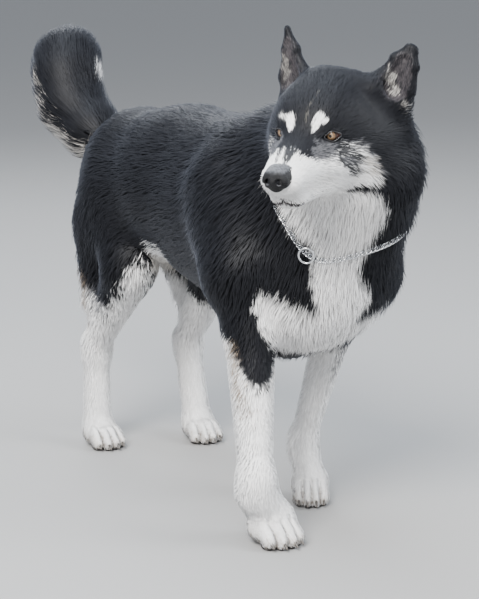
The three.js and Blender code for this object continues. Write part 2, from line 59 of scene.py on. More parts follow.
# %% Camera
DOG_MIDDLE = np.array([6.7, 13.3, 0.0])  # millimetres from the dog's own origin to the frame's
EYE_POINT = np.array([-1402.0, -2925.0, 920.0])
HEADING = math.radians(26.3)
LOOK_DOWN = math.radians(10.83)
LENS_IN_HEIGHTS = 3.339  # focal length over the picture's height
SENSOR = 36.0
FAR_CLIP = 60.0


def metres(p):
    """Points of the dog's own frame, in millimetres, as metres in the frame of the CAD."""
    return (np.asarray(p, float) - DOG_MIDDLE) / 1000


camera = bpy.data.objects.new("camera", bpy.data.cameras.new("camera"))
bpy.context.scene.collection.objects.link(camera)
camera.data.sensor_width = SENSOR
camera.data.lens = SENSOR * LENS_IN_HEIGHTS
camera.location = metres(EYE_POINT)
ahead = Vector((math.sin(HEADING) * math.cos(LOOK_DOWN),
                math.cos(HEADING) * math.cos(LOOK_DOWN), -math.sin(LOOK_DOWN)))
camera.rotation_euler = ahead.to_track_quat("-Z", "Y").to_euler()
camera.data.clip_end = FAR_CLIP
bpy.context.scene.camera = camera
print("camera at", [round(x, 3) for x in camera.location])


# %% Floor
def shader(name, **sockets):
    """A material with one Principled shader; each socket is given by its name with _ for a space."""
    material = bpy.data.materials.new(name)
    material.use_nodes = True
    principled = material.node_tree.nodes["Principled BSDF"]
    for key, value in sockets.items():
        principled.inputs[key.replace("_", " ")].default_value = value
    return material, material.node_tree, principled


FLOOR_REACH = 30  # metres from the middle to each edge
ground = bpy.data.meshes.new("floor")
ground.from_pydata([(x * FLOOR_REACH, y * FLOOR_REACH, 0) for x, y in ((-1, -1), (1, -1), (1, 1), (-1, 1))],
                   [], [(0, 1, 2, 3)])
floor = bpy.data.objects.new("floor", ground)
bpy.context.scene.collection.objects.link(floor)
floor_paint, _, _ = shader("floor_paint", Base_Color=(0.27, 0.267, 0.263, 1), Roughness=0.9)
ground.materials.append(floor_paint)
print("floor of", 2 * FLOOR_REACH, "metres")


# %% Lamps and the light of the room
def lamp(name, place, target, size, power, tint):
    """A round area lamp that points at its target."""
    data = bpy.data.lights.new(name, "AREA")
    data.shape = "DISK"
    data.size = size
    data.energy = power
    data.color = tint
    made = bpy.data.objects.new(name, data)
    made.location = place
    made.rotation_euler = (Vector(target) - Vector(place)).to_track_quat("-Z", "Y").to_euler()
    bpy.context.scene.collection.objects.link(made)


world = bpy.data.worlds.new("studio")
world.use_nodes = True
backdrop = world.node_tree.nodes["Background"]
backdrop.inputs["Color"].default_value = (0.80, 0.86, 0.95, 1)
backdrop.inputs["Strength"].default_value = 0.9
bpy.context.scene.world = world
LAMPS = {  # place, what it points at, how wide it is in metres, its power in watts and its tint
    "key": ((-2.6, -2.4, 3.4), (0, -0.1, 0.4), 2.4, 610, (1.0, 0.98, 0.95)),
    "fill": ((2.8, -2.6, 2.2), (0, -0.1, 0.4), 2.6, 200, (0.94, 0.97, 1.0)),
    "edge": ((0.6, 3.2, 3.0), (0, 0.1, 0.5), 2.0, 110, (0.92, 0.96, 1.0)),
    "sky": ((-0.3, 0.3, 3.6), (0, 0, 0.4), 3.2, 160, (0.80, 0.89, 1.0)),
}
for lamp_name, lamp_values in LAMPS.items():
    lamp(lamp_name, *lamp_values)
print(len(LAMPS), "lamps")

# %% [markdown]
# ## The body as blended forms
# A sculptor builds an animal from a few masses: ribcage, loin, thigh, skull, and so on.
# Each mass here is a rounded tube between two points, with its own half-widths, and a soft
# union lets it flow into its neighbours. The same table was used for the CAD solids, so
# the skin can be made from it again, finer, and drawn in by the depth of the coat.

# %% Forms and their soft union
X = np.array([1.0, 0, 0])
UP = np.array([0, 0, 1.0])
FAR_OFF = 120.0  # a form farther away than this has no say in the distance


def vec(*numbers):
    return np.array(numbers, float)


def unit(v):
    return v / (np.linalg.norm(v, axis=-1, keepdims=True) + 1e-12)


class Form:
    """A rounded tube from a to b. Its half-widths (across, deep) go from ra to rb, cap is the length
    of its rounded ends, and blend is how softly it flows into the forms before it."""

    def __init__(self, area, a, b, ra, rb, blend, side=X, cap=None, cut=False):
        self.area, self.a, self.b = area, vec(*a), vec(*b)
        self.ra, self.rb, self.cap, self.blend, self.cut = ra, rb, cap, blend, cut
        self.length = np.linalg.norm(self.b - self.a)
        self.axis = (self.b - self.a) / self.length
        self.across = unit(side - self.axis * np.dot(side, self.axis))
        self.deep = np.cross(self.across, self.axis)
        self.middle = (self.a + self.b) / 2
        self.reach = self.length / 2 + max(*ra, *rb) + FAR_OFF

    def distance(self, p, inset=0.0):
        q = p - self.a
        along = q @ self.axis
        t = np.clip(along / self.length, 0, 1)
        s = t * t * (3 - 2 * t)
        inset = -inset if self.cut else inset
        wide = np.maximum(self.ra[0] + (self.rb[0] - self.ra[0]) * s - inset, 1)
        tall = np.maximum(self.ra[1] + (self.rb[1] - self.ra[1]) * s - inset, 1)
        ends = np.minimum(wide, tall)
        if self.cap:
            ends = np.maximum(self.cap[0] + (self.cap[1] - self.cap[0]) * s - inset, 1)
        u = (q @ self.across) / wide
        v = (q @ self.deep) / tall
        w = (along - t * self.length) / ends
        near = np.sqrt(u * u + v * v + w * w)
        steep = np.sqrt((u / wide) ** 2 + (v / tall) ** 2 + (w / ends) ** 2) + 1e-12
        return near * (near - 1) / steep


def soft_min(a, b, k):
    h = np.maximum(k - np.abs(a - b), 0) / k
    return np.minimum(a, b) - h * h * k / 4


def distance_to(forms, p, depth=None):
    """Distance from points to the blended forms; depth gives how far each area is drawn in."""
    result = np.full(len(p), FAR_OFF)
    for form in forms:
        near = np.flatnonzero(((p - form.middle) ** 2).sum(1) < form.reach ** 2)
        if len(near) == 0:
            continue
        one = form.distance(p[near], depth[form.area] if depth else 0.0)
        old = result[near]
        result[near] = -soft_min(-old, one, form.blend) if form.cut else soft_min(old, one, form.blend)
    return result


# %% Trunk
trunk = [
    Form("ribs", (4, -150, 460), (-4, 110, 474), (120, 144), (114, 128), 40),
    Form("loin", (-6, 100, 490), (-22, 240, 492), (106, 114), (100, 102), 45),
    Form("rump", (-24, 236, 490), (-32, 284, 482), (96, 98), (82, 84), 45, cap=(50, 46)),
    Form("withers", (4, -180, 546), (0, 60, 556), (60, 54), (64, 50), 45),
    Form("breast", (16, -225, 430), (22, -280, 388), (124, 130), (108, 106), 45),
    Form("belly", (8, -190, 352), (0, 0, 378), (64, 56), (54, 42), 55),
    Form("breast", (24, -296, 344), (12, -236, 306), (80, 74), (62, 62), 40),
    Form("shoulder", (-62, -170, 515), (-90, -264, 392), (56, 68), (52, 64), 45),
    Form("shoulder", (76, -170, 515), (128, -264, 368), (58, 72), (58, 72), 45),
]
print(len(trunk), "forms in the trunk")

# %% [markdown]
# A leg hangs from the trunk as a chain of forms, one for each length between two joints. A
# paw has a low form for its middle and a small one for each of its four toes, and thin forms
# cut the grooves between the toes. A small class remembers where a paw stands and where it
# points, so toes, claws and pads all find their places from the same few numbers.

# %% Paws
TOES = (-1, -0.36, 0.36, 1)  # the four toes across the paw
TOE_SPREAD = 23  # from the middle of the paw to the outer toes, on a paw of width 1
TOE_SETBACK = 13  # how far the outer toes stand behind the middle of the paw


class Paw:
    """Where a paw stands and the way that it points; turn is its heading from -Y in degrees."""

    def __init__(self, x, y, turn, width):
        self.at = vec(x, y, 0)
        self.ahead = vec(math.sin(math.radians(turn)), -math.cos(math.radians(turn)), 0)
        self.side = vec(self.ahead[1], -self.ahead[0], 0)
        self.width = width

    def on(self, forward, z):
        return self.at + self.ahead * forward + UP * z

    def toe(self, toe, forward, z):
        reach = forward - TOE_SETBACK * abs(toe) ** 1.5
        return self.on(reach, z) + self.side * toe * TOE_SPREAD * self.width

    def toes(self):
        return [Form("toe", self.toe(t * 0.85, 18, 26), self.toe(t, 40, 11.5), (11, 13), (10.5, 12.5), 7)
                for t in TOES]

    def gaps(self):
        """Thin cuts down the front of the paw between its toes."""
        made = []
        for a, b in zip(TOES, TOES[1:]):
            path = [self.toe((a + b) / 2, *at) for at in ((20, 41), (42, 27), (55, 8))]
            made += [Form("gap", start, end, (1.2, 6), (1.6, 8), 4, self.side, cut=True)
                     for start, end in zip(path, path[1:])]
        return made


PAWS = {
    "fore_right": Paw(-84, -376, 4, 1.1),
    "fore_left": Paw(67, -207, -24, 0.86),
    "hind_right": Paw(-98, 258, 2, 0.96),
    "hind_left": Paw(76, 220, -4, 0.96),
}
print("paws stand at", [(name, *map(int, paw.at[:2])) for name, paw in PAWS.items()])

# %% Legs
WRIST_HEIGHT = 88


def foreleg(paw, elbow, top, wrist, stout):
    """A foreleg from the top of the upper arm down. The wrist is given by how far it stands to the
    side of the paw and behind it, and stout is how thick the leg is."""
    w = paw.at - paw.ahead * wrist[1] + vec(wrist[0], 0, WRIST_HEIGHT)
    low = paw.on(-10, 36) + paw.side * wrist[0] / 3
    side = paw.side

    def half(*sizes):
        return tuple(s * stout for s in sizes)

    return [
        Form("upper_arm", top, elbow + vec(0, 0, 8), (50, 58), (36, 42), 40),
        Form("forearm", elbow + vec(0, -2, 0), w + UP * 10, half(34, 43), half(26, 28), 30),
        Form("forearm", w + UP * 12, w - UP * 14, half(28, 29), half(27, 28), 15, side),
        Form("pastern", w - UP * 10, low, half(26, 27), (28 * paw.width, 28), 20, side),
        Form("paw", paw.on(-14, 23), paw.on(20, 18), (35 * paw.width, 27), (32 * paw.width, 21), 18, side),
        *paw.toes(), *paw.gaps(),
    ]


def hindleg(paw, knee, hock, hip):
    """A hind leg from the hip down. The breech is the hair-covered back of the thigh."""
    width = paw.width
    return [
        Form("thigh", hip, knee + vec(0, 8, 12), (54, 84), (44, 48), 50),
        Form("breech", hip + vec(0, 42, -56), hock + vec(0, -14, 94), (48, 56), (32, 40), 45),
        Form("shank", knee + vec(0, 6, -4), hock + vec(0, -6, 14), (40, 44), (25, 30), 35),
        Form("hock", hock + vec(0, -2, 10), hock + vec(0, -2, -12), (24, 29), (23, 27), 18),
        Form("pastern", hock + vec(0, 0, -4), paw.on(-24, 40), (24, 27), (26, 26), 18),
        Form("paw", paw.on(-14, 22), paw.on(14, 18), (33 * width, 26), (30 * width, 21), 18, paw.side),
        *paw.toes(), *paw.gaps(),
    ]


legs = {
    "fore_right": foreleg(PAWS["fore_right"], vec(-76, -274, 300), vec(-78, -254, 392), (-24, 12), 1.06),
    "fore_left": foreleg(PAWS["fore_left"], vec(96, -232, 300), vec(112, -248, 380), (-10, 34), 0.84),
    "hind_right": hindleg(PAWS["hind_right"], vec(-90, 148, 330), vec(-96, 290, 170), vec(-88, 232, 440)),
    "hind_left": hindleg(PAWS["hind_left"], vec(66, 126, 330), vec(76, 278, 168), vec(44, 232, 440)),
}
print("forms in each leg:", {name: len(forms) for name, forms in legs.items()})

# %% Tail
TAIL = [  # x, y, z and radius along the tail, from its root to its tip
    (-40, 330, 520, 38), (-60, 386, 548, 50), (-78, 436, 590, 56), (-78, 458, 638, 56),
    (-70, 478, 666, 53), (-52, 498, 674, 45), (-32, 516, 660, 35), (-21, 523, 638, 27),
]
tail = [Form("tail", a[:3], b[:3], (a[3], a[3]), (b[3], b[3]), 25) for a, b in zip(TAIL, TAIL[1:])]
print("tail of", round(sum(form.length for form in tail)), "mm")

# %% [markdown]
# ## The head in its own frame
# The head is turned to the dog's right and nods a little, so its forms are easier to place
# in a frame of their own: x to the dog's left, y forward along the muzzle and z up, with
# the origin midway between the eyes.

# %% The head's own directions
HEAD = vec(-74, -452, 621)
TURN = math.radians(53.5)
NOD = math.radians(11)
AHEAD = vec(-math.sin(TURN) * math.cos(NOD), -math.cos(TURN) * math.cos(NOD), -math.sin(NOD))
LEFT = unit(np.cross(UP, AHEAD))
CROWN = np.cross(AHEAD, LEFT)


def head_way(x, y, z):
    return LEFT * x + AHEAD * y + CROWN * z


def head_point(x, y, z):
    return HEAD + head_way(x, y, z)


def in_head(p):
    """Points in the head's own frame."""
    return (p - HEAD) @ np.stack([LEFT, AHEAD, CROWN], 1)


print("the head looks along", AHEAD.round(2))

# %% Neck and head
neck = [
    Form("neck", head_point(14, -112, -26), (26, -225, 470), (96, 94), (118, 128), 50, LEFT, (44, 110)),
    Form("nape", head_point(10, -118, -22), (4, -150, 545), (68, 58), (68, 56), 45, LEFT, (30, 60)),
    Form("throat", head_point(34, -112, -84), (58, -285, 410), (92, 84), (98, 84), 55, LEFT, (66, 84)),
]


def cheek(s):
    return Form("cheek_left" if s > 0 else "cheek_right", head_point(30 * s, 0, -40),
                head_point(60 * s, -82, -36), (28, 32), (36, 50), 30, LEFT)


head = [
    Form("skull", head_point(0, -58, 0), head_point(0, -84, -2), (77, 68), (79, 70), 26, LEFT, (64, 64)),
    Form("skull", head_point(-14, -84, 47), head_point(64, -98, 41), (30, 25), (24, 21), 24, AHEAD),
    Form("nape", head_point(97, -118, 14), head_point(90, -120, -20), (19, 20), (22, 24), 22, LEFT),
    cheek(1),
    cheek(-1),
    Form("brow", head_point(-22, -16, 12), head_point(22, -16, 12), (20, 22), (20, 22), 30, AHEAD),
    Form("bridge", head_point(0, -20, 4), head_point(0, 62, -26), (28, 24), (25, 16), 26, LEFT),
    Form("muzzle", head_point(0, -10, -38), head_point(0, 84, -42), (50, 36), (34, 27), 22, LEFT),
    Form("jaw", head_point(0, -44, -70), head_point(0, 74, -72), (50, 24), (28, 15), 16, LEFT),
]
nose_pad = Form("nose", head_point(0, 99, -35), head_point(0, 108, -36), (18.5, 18), (17, 16), 7, LEFT)
print(len(neck) + len(head) + 1, "forms in neck, head and nose")

# %% [markdown]
# An ear of this breed is a small upright triangle, furred inside too. Three flat forms, one
# above the other, give its taper from the root to the rounded tip, and a fourth form cuts
# the hollow into its front.

# %% Ears
EARS = {  # side, root, middle, bend and tip of the ear, and its half-width at each of them
    "left": (1, vec(66, -102, 8), vec(91, -112, 46), vec(103, -121, 74), vec(112, -129, 92),
             (30, 32, 23, 12)),
    "right": (-1, vec(-58, -100, 8), vec(-67, -110, 52), vec(-74, -119, 87), vec(-80, -126, 115),
              (28, 28, 16.5, 6)),
}


def ear(s, root, middle, bend, tip, wide):
    side = LEFT * 0.97 * s - AHEAD * 0.22
    name = "ear_left" if s > 0 else "ear_right"
    low = middle + vec(0, 13, -6)
    high = middle + (tip - middle) * 0.72 + vec(0, 9, 0)
    return [
        Form(name, head_point(*root), head_point(*middle), (wide[0], 24), (wide[1], 13), 16, side, (20, 13)),
        Form(name, head_point(*middle), head_point(*bend), (wide[1], 13), (wide[2], 9), 6, side, (13, 9)),
        Form(name, head_point(*bend), head_point(*tip), (wide[2], 9), (wide[3], 6), 6, side, (9, 8)),
        Form("hollow", head_point(*low), head_point(*high), (0.6 * wide[1], 10), (0.4 * wide[2], 4), 4, side,
             (12, 6), cut=True),
    ]


body = [*trunk, *legs["fore_right"], *legs["fore_left"], *legs["hind_right"], *legs["hind_left"],
        *neck, *head, nose_pad, *tail, *ear(*EARS["left"]), *ear(*EARS["right"])]
print(len(body), "forms in the body")

# %% [markdown]
# ## The coat, area by area
# A husky's hair is short on the face and feet, nearly four centimetres long on the back and
# longest on the neck, the back of the thighs and the tail. One table says so: how deep the
# coat lies over the skin, how long and wide a tuft is, and how far apart the tufts stand.
# The way the hair lies comes next, as one direction for each area. The collar's chain
# hangs free of the coat at the throat, and the ruff closes over it elsewhere.

# %% Coat table
COAT = {  # area: depth over the skin, tuft length, tuft width, distance between tufts, in millimetres
    "ribs": (13, 36, 1.9, 3.6), "withers": (13, 38, 1.9, 3.6), "loin": (13, 36, 1.9, 3.6),
    "rump": (14, 38, 1.9, 3.6), "belly": (12, 32, 2.2, 4.2), "breast": (17, 34, 1.6, 2.9),
    "shoulder": (14, 36, 1.9, 3.6), "upper_arm": (9, 22, 1.8, 3.4), "forearm": (5, 10, 1.4, 3.3),
    "pastern": (4, 8, 1.3, 2.9), "paw": (3.5, 7, 1.2, 2.6), "toe": (3, 6, 1.1, 2.4), "gap": (1, 4, 0.9, 2.2),
    "thigh": (15, 34, 2.0, 3.7), "breech": (18, 46, 2.2, 3.6), "shank": (8, 16, 1.7, 3.5),
    "hock": (4.5, 9, 1.4, 3.0), "tail": (26, 56, 1.8, 2.3), "neck": (22, 50, 2.1, 3.5),
    "nape": (20, 44, 2.1, 3.5), "throat": (20, 34, 1.5, 2.5), "skull": (7, 14, 1.3, 1.9),
    "brow": (5, 9, 1.0, 1.6), "cheek_left": (13, 24, 1.4, 1.8), "cheek_right": (13, 24, 1.4, 1.8),
    "bridge": (3.2, 5.5, 0.9, 1.4), "muzzle": (3.2, 6, 0.9, 1.4), "jaw": (3.5, 7, 1.0, 1.6),
    "ear_left": (1.8, 6, 1.0, 1.8), "ear_right": (1.8, 6, 1.0, 1.8), "hollow": (0.8, 14, 0.9, 1.8),
    "nose": (6, 3, 0.6, 9), "lid": (0, 3, 0.7, 1.7), "slit": (0, 3, 0.7, 2), "lips": (0, 3, 0.7, 2),
}
DEPTH = {area: row[0] for area, row in COAT.items()}
print(len(COAT), "areas in the coat table")

# %% Where the coat closes over the chain
LOOP_MIDDLE, LOOP_NORMAL = vec(10, -327, 537), unit(vec(-0.127, -0.682, 0.72))
LOOP_SIDE = vec(0.983, -0.183, 0)
LOOP_FRONT = unit(np.cross(LOOP_SIDE, LOOP_NORMAL))


def over_chain(p):
    """From 0 to 1 where the coat closes over the chain, round the sides and the back of the neck."""
    q = p - LOOP_MIDDLE
    angle = np.abs(np.arctan2(q @ LOOP_SIDE, q @ LOOP_FRONT))
    height = q @ LOOP_NORMAL
    return np.clip((angle - 0.5) / 0.35, 0, 1) * np.clip(2 - np.abs(height - 4) / 12, 0, 1)


# %% The lie of the coat
LIE = {  # areas that are missing here lie along their own form, such as the tail and the ears
    "ribs": vec(0, 1, -0.3), "withers": vec(0, 1, -0.1), "loin": vec(0, 1, -0.3),
    "rump": vec(0, 0.8, -0.7), "belly": vec(0, 1, -0.2), "breast": vec(0, 0.35, -1),
    "shoulder": vec(0, 0.6, -0.9), "upper_arm": vec(0, 0.35, -1), "forearm": vec(0, 0.12, -1),
    "pastern": vec(0, -0.1, -1), "thigh": vec(0, 0.4, -1), "breech": vec(0, 0.5, -1),
    "shank": vec(0, 0.3, -1), "hock": vec(0, 0.05, -1), "skull": head_way(0, -1, 0.15),
    "brow": head_way(0, -0.6, 0.8), "cheek_left": head_way(0.5, -0.75, -0.5),
    "cheek_right": head_way(-0.5, -0.75, -0.5), "bridge": head_way(0, -1, 0.2),
    "muzzle": head_way(0, -1, -0.35), "jaw": head_way(0, -1, -0.2), "nose": head_way(0, -1, 0.2),
    "lid": head_way(0, -1, 0.1),
}
for form in [f for f in body if f.area in ("neck", "throat")]:
    LIE[form.area] = unit(form.axis - UP * 0.5)
print(len(LIE), "areas have a lie of their own")

# %% [markdown]
# ## Eyelids, mouth and other openings of the skin
# A few forms cut into the skin instead of adding to it. The lids are a thin ball over the
# eyeball, slit by two thin forms that meet at the middle of the eye, so the opening has
# the shape of an almond. The line of the mouth is a fine groove.

# %% Openings
EYE_RADIUS = 11.5


def eye_centre(s):
    return head_point(37 * s, -7, -1)


def eye_axes(s):
    """Out of the middle of the lids, along the slit to its outer corner, and up across it."""
    out = unit(head_way(0.38 * s, 0.92, 0.02))
    along = unit(head_way(0.92 * s, -0.38, 0.06))
    along = unit(along - out * np.dot(along, out))
    return out, along, unit(np.cross(along, out) * s)


def lid(s):
    out, along, up = eye_axes(s)
    centre = eye_centre(s)
    front = centre + out * 12
    corners = front - along * 14.2 - out * 4.5, front + along * 13.6 - out * 4
    return [
        Form("lid", centre - LEFT, centre + LEFT, (13, 13), (13, 13), 8, CROWN),
        Form("slit", corners[0], front, (1.2, 7), (7.2, 7), 2, up, cut=True),
        Form("slit", front, corners[1], (7.2, 7), (1.2, 7), 2, up, cut=True),
    ]


MOUTH = [  # the left half of the line of the mouth, in the head's own frame
    (0, 97, -68), (17, 86, -78), (28, 66, -81), (36, 40, -80), (44, 10, -73),
]


def lips(s):
    points = [head_point(x * s, y, z) for x, y, z in MOUTH]
    return [Form("lips", a, b, (2.4, 2.4), (2.4, 2.4), 3, LEFT, cut=True)
            for a, b in zip(points, points[1:])]


skin_forms = body + lid(1) + lid(-1) + lips(1) + lips(-1)
print(len(skin_forms) - len(body), "forms for lids and mouth")

# %% [markdown]
# ## One skin for the whole body
# The skin is where the distance is zero. A grid of points is laid over the body, fine round
# the head and coarser elsewhere, and every cell that the surface passes through gets one
# point; four neighbouring points make a face. This is the surface net, and it suits an
# animal better than marching cubes because its faces are even four-sided ones. Blender's
# metaballs blend too, but can't be drawn in by a depth that differs from area to area.

# %% Distances on a grid
def lines(*stretches):
    """Grid lines from (start, step) pairs, the last pair being (end, 0)."""
    made = [np.arange(a, b, step) for (a, step), (b, _) in zip(stretches, stretches[1:])]
    return np.concatenate([*made, [stretches[-1][0]]])


OUTSIDE = 99.0  # stands for any distance far from the surface


def sample(forms, axes, depth, block=8, batch=1500):
    """Distances on the grid, worked out only in the blocks that the surface may pass through."""
    shape = tuple(len(a) for a in axes)
    starts = [np.arange(0, n, block) for n in shape]
    middles, halves = [], []
    for a, first in zip(axes, starts):
        last = np.minimum(first + block, len(a) - 1)
        middles.append((a[first] + a[last]) / 2)
        halves.append((a[last] - a[first]) / 2)
    centres = np.stack(np.meshgrid(*middles, indexing="ij"), -1).reshape(-1, 3)
    radius = np.sqrt(sum(h ** 2 for h in np.meshgrid(*halves, indexing="ij"))).ravel()
    corners = np.stack(np.meshgrid(*starts, indexing="ij"), -1).reshape(-1, 3)
    rough = distance_to(forms, centres, depth)
    values = np.full(shape, OUTSIDE, np.float32)
    for i, j, k in corners[rough < 0]:
        values[i:i + block, j:j + block, k:k + block] = -OUTSIDE
    near = corners[np.abs(rough) < radius * 1.6 + 6]
    step = np.stack(np.meshgrid(*[np.arange(block)] * 3, indexing="ij"), -1).reshape(-1, 3)
    for part in np.array_split(near, max(1, len(near) // batch)):
        at = (part[:, None, :] + step).reshape(-1, 3)
        at = at[(at < shape).all(1)]
        p = np.stack([a[at[:, n]] for n, a in enumerate(axes)], 1)
        values[tuple(at.T)] = distance_to(forms, p, depth)
    return values


# %% Surface net
def surface_net(values, axes):
    """Points and four-sided faces of the zero surface, facing outwards."""
    inside = values < 0
    n = np.array(values.shape)
    corner = [(i, j, k) for i in (0, 1) for j in (0, 1) for k in (0, 1)]

    def at_corner(array, c):
        return array[tuple(slice(c[d], n[d] - 1 + c[d]) for d in range(3))]

    count = sum(at_corner(inside, c).astype(np.int8) for c in corner)
    cells = np.argwhere((count > 0) & (count < 8))
    number = np.full(n - 1, -1, np.int32)
    number[tuple(cells.T)] = np.arange(len(cells))
    value = np.stack([values[tuple((cells + c).T)] for c in corner], 1).astype(float)
    total = np.zeros((len(cells), 3))
    crossings = np.zeros((len(cells), 1))
    for a in range(8):
        for b in range(a + 1, 8):
            if sum(abs(p - q) for p, q in zip(corner[a], corner[b])) == 1:
                crossed = (value[:, a] < 0) != (value[:, b] < 0)
                t = np.where(crossed, value[:, a] / (value[:, a] - value[:, b] + 1e-9), 0)
                point = np.array(corner[a]) + (np.array(corner[b]) - corner[a]) * t[:, None]
                total += point * crossed[:, None]
                crossings += crossed[:, None]
    part = total / crossings
    points = np.stack([axes[d][cells[:, d]] * (1 - part[:, d]) + axes[d][cells[:, d] + 1] * part[:, d]
                       for d in range(3)], 1)
    faces = []
    for d in range(3):
        e, f = (d + 1) % 3, (d + 2) % 3
        first = [slice(None)] * 3
        second = [slice(None)] * 3
        first[d], second[d] = slice(0, -1), slice(1, None)
        edges = np.argwhere(inside[tuple(first)] != inside[tuple(second)])
        keep = (edges[:, e] > 0) & (edges[:, f] > 0) & (edges[:, e] < n[e] - 1) & (edges[:, f] < n[f] - 1)
        edges = edges[keep]
        quad = []
        for back_e, back_f in ((1, 1), (0, 1), (0, 0), (1, 0)):
            cell = edges.copy()
            cell[:, e] -= back_e
            cell[:, f] -= back_f
            quad.append(number[tuple(cell.T)])
        quad = np.stack(quad, 1)
        outward = inside[tuple(edges.T)]
        faces.append(np.where(outward[:, None], quad, quad[:, ::-1]))
    return points, np.concatenate(faces)


# %% Points drawn onto the surface
def slope_of(forms, p, depth=None, e=0.5):
    """Distance at the points and the direction in which it grows."""
    here = distance_to(forms, p, depth)
    ahead_of = [distance_to(forms, p + step * e, depth) for step in np.eye(3)]
    return here, (np.stack(ahead_of, 1) - here[:, None]) / e


def draw_onto(forms, p, depth=None, times=2):
    """Moves points onto the zero surface."""
    for _ in range(times):
        here, slope = slope_of(forms, p, depth)
        move = here / np.maximum((slope ** 2).sum(1), 0.2)
        p = p - slope * np.clip(move, -3, 3)[:, None]
    return p


# %% The skin's points and faces
axes = (
    lines((-190, 5), (-185, 2.7), (70, 6), (190, 0)),  # fine across the head
    lines((-590, 2.5), (-345, 6.6), (560, 0)),  # fine along the head
    lines((-6, 3), (72, 6.6), (505, 2.5), (770, 0)),  # fine over the paws and the head
)
skin_points, skin_faces = surface_net(sample(skin_forms, axes, DEPTH), axes)
skin_points = draw_onto(skin_forms, skin_points, DEPTH)
SOLE = 2.0  # the skin ends this far above the floor, and the pads fill the rest
skin_points[:, 2] = np.maximum(skin_points[:, 2], SOLE)
print("skin:", len(skin_points), "points,", len(skin_faces), "faces")

# %% [markdown]
# ## Markings
# The coat is black above and white below, with a white bib and a bar across the chest, two
# white spots over the eyes, a white muzzle and cheeks with a dark smudge, pale hair under the
# tail and tan where black turns to white on the legs. Each mark is a shape with a colour:
# a few rounded tubes, or an outline drawn on a view of the dog, such as the front view.
# They are painted one over another in the order of a list. Skin and tufts ask the same
# function, so their colours agree. Edges are ragged by a slow noise, and each tuft may fall
# a little to one side or the other, so black and white hairs mingle as on a real coat. A
# painted image would do as well, but a list of shapes needs no unwrap to be painted on.

# %% Colours and noise
BLACK, WHITE, PALE = vec(0.0070, 0.0074, 0.0098), vec(0.92, 0.91, 0.90), vec(0.62, 0.59, 0.55)
GREY, TAN, ROAN = vec(0.14, 0.14, 0.15), vec(0.30, 0.235, 0.175), vec(0.065, 0.058, 0.062)
# the second colour here is painted shade for the grooves between the toes
DUST, TOE_GROOVE_SHADE = vec(0.44, 0.37, 0.29), vec(0.13, 0.105, 0.08)
PARTING, LIP = vec(0.11, 0.105, 0.09), vec(0.045, 0.036, 0.038)


def ripple(p, size, seed, waves=9):
    """A smooth noise about from -1 to 1: a sum of waves with lengths near size."""
    r = np.random.default_rng(seed)
    total = np.zeros(len(p))
    for _ in range(waves):
        way = unit(r.normal(size=3)) * 2 * np.pi / (size * r.uniform(0.7, 1.6))
        total += np.sin(p @ way + r.uniform(0, 2 * np.pi))
    return total / math.sqrt(waves)


# %% Outlines and tubes
def inside_outline(u, v, corners):
    """Distance to a closed outline on a plane, negative inside."""
    corners = np.array(corners, float)
    best = np.full(len(u), 1e9)
    crossings = np.zeros(len(u), int)
    for a, b in zip(corners, np.roll(corners, -1, axis=0)):
        e = b - a
        t = np.clip(((u - a[0]) * e[0] + (v - a[1]) * e[1]) / (e @ e), 0, 1)
        best = np.minimum(best, (u - a[0] - e[0] * t) ** 2 + (v - a[1] - e[1] * t) ** 2)
        if a[1] != b[1]:
            at = a[0] + (v - a[1]) / (b[1] - a[1]) * e[0]
            crossings += ((a[1] > v) != (b[1] > v)) & (u < at)
    return np.sqrt(best) * np.where(crossings % 2 == 1, -1, 1)


def tube_mark(points, radii):
    """Distance to a chain of round cones."""
    points = [vec(*q) for q in points]

    def reach(p):
        best = np.full(len(p), 1e9)
        for a, b, ra, rb in zip(points, points[1:], radii, radii[1:]):
            t = np.clip(((p - a) @ (b - a)) / ((b - a) @ (b - a)), 0, 1)
            gap = np.linalg.norm(p - a - t[:, None] * (b - a), axis=1)
            best = np.minimum(best, gap - ra - (rb - ra) * t)
        return best
    return reach


# %% Marks on views of the dog and in the head's own frame
def head_tube(points, radii, both=True):
    """A tube given in the head's own directions, on both sides of the face if both is true."""
    tube = tube_mark(points, radii)

    def reach(p):
        h = in_head(p)
        if both:
            h[:, 0] = np.abs(h[:, 0])
        return tube(h)
    return reach


def front_outline(corners, behind):
    """An outline of x and z on the front view, for what lies ahead of y = behind."""
    def reach(p):
        return np.maximum(inside_outline(p[:, 0], p[:, 2], corners), (p[:, 1] - behind) * 0.5)
    return reach


def head_front_outline(corners, behind):
    """An outline on the front view of the head, for what lies ahead of y = behind in its frame."""
    def reach(p):
        h = in_head(p)
        return np.maximum(inside_outline(h[:, 0], h[:, 2], corners), behind - h[:, 1])
    return reach


def cheek_outline(corners):
    """An outline on the three-quarter view of the face, mirrored to the other side."""
    def reach(p):
        h = in_head(p)
        across = np.abs(h[:, 0]) * 0.89 - h[:, 1] * 0.455
        return np.maximum(inside_outline(across, h[:, 2], corners), np.maximum(-76 - h[:, 1], -125 - h[:, 2]))
    return reach


def leg_outline(corners, low_x, high_x):
    """An outline of y and z on the side view, between two values of x."""
    def reach(p):
        slab = np.maximum(low_x - p[:, 0], p[:, 0] - high_x)
        return np.maximum(inside_outline(p[:, 1], p[:, 2], corners), slab)
    return reach


# %% Marks in the ears, between the toes and under the tail
hollows = [f for f in body if f.area == "hollow"]


def ear_inside(p):
    """The hollow of each ear and a rim of 3 mm round it."""
    return np.min([h.distance(p) for h in hollows], axis=0) - 3


def between_toes(paw):
    """Painted shade in the grooves between the toes of one paw."""
    gaps = [(a + b) / 2 for a, b in zip(TOES, TOES[1:])]
    tubes = [tube_mark([paw.toe(g, 22, 32), paw.toe(g, 38, 20), paw.toe(g, 46, 6)], [0.6, 2.2, 2.6])
             for g in gaps]
    return lambda p: np.min([tube(p) for tube in tubes], axis=0)


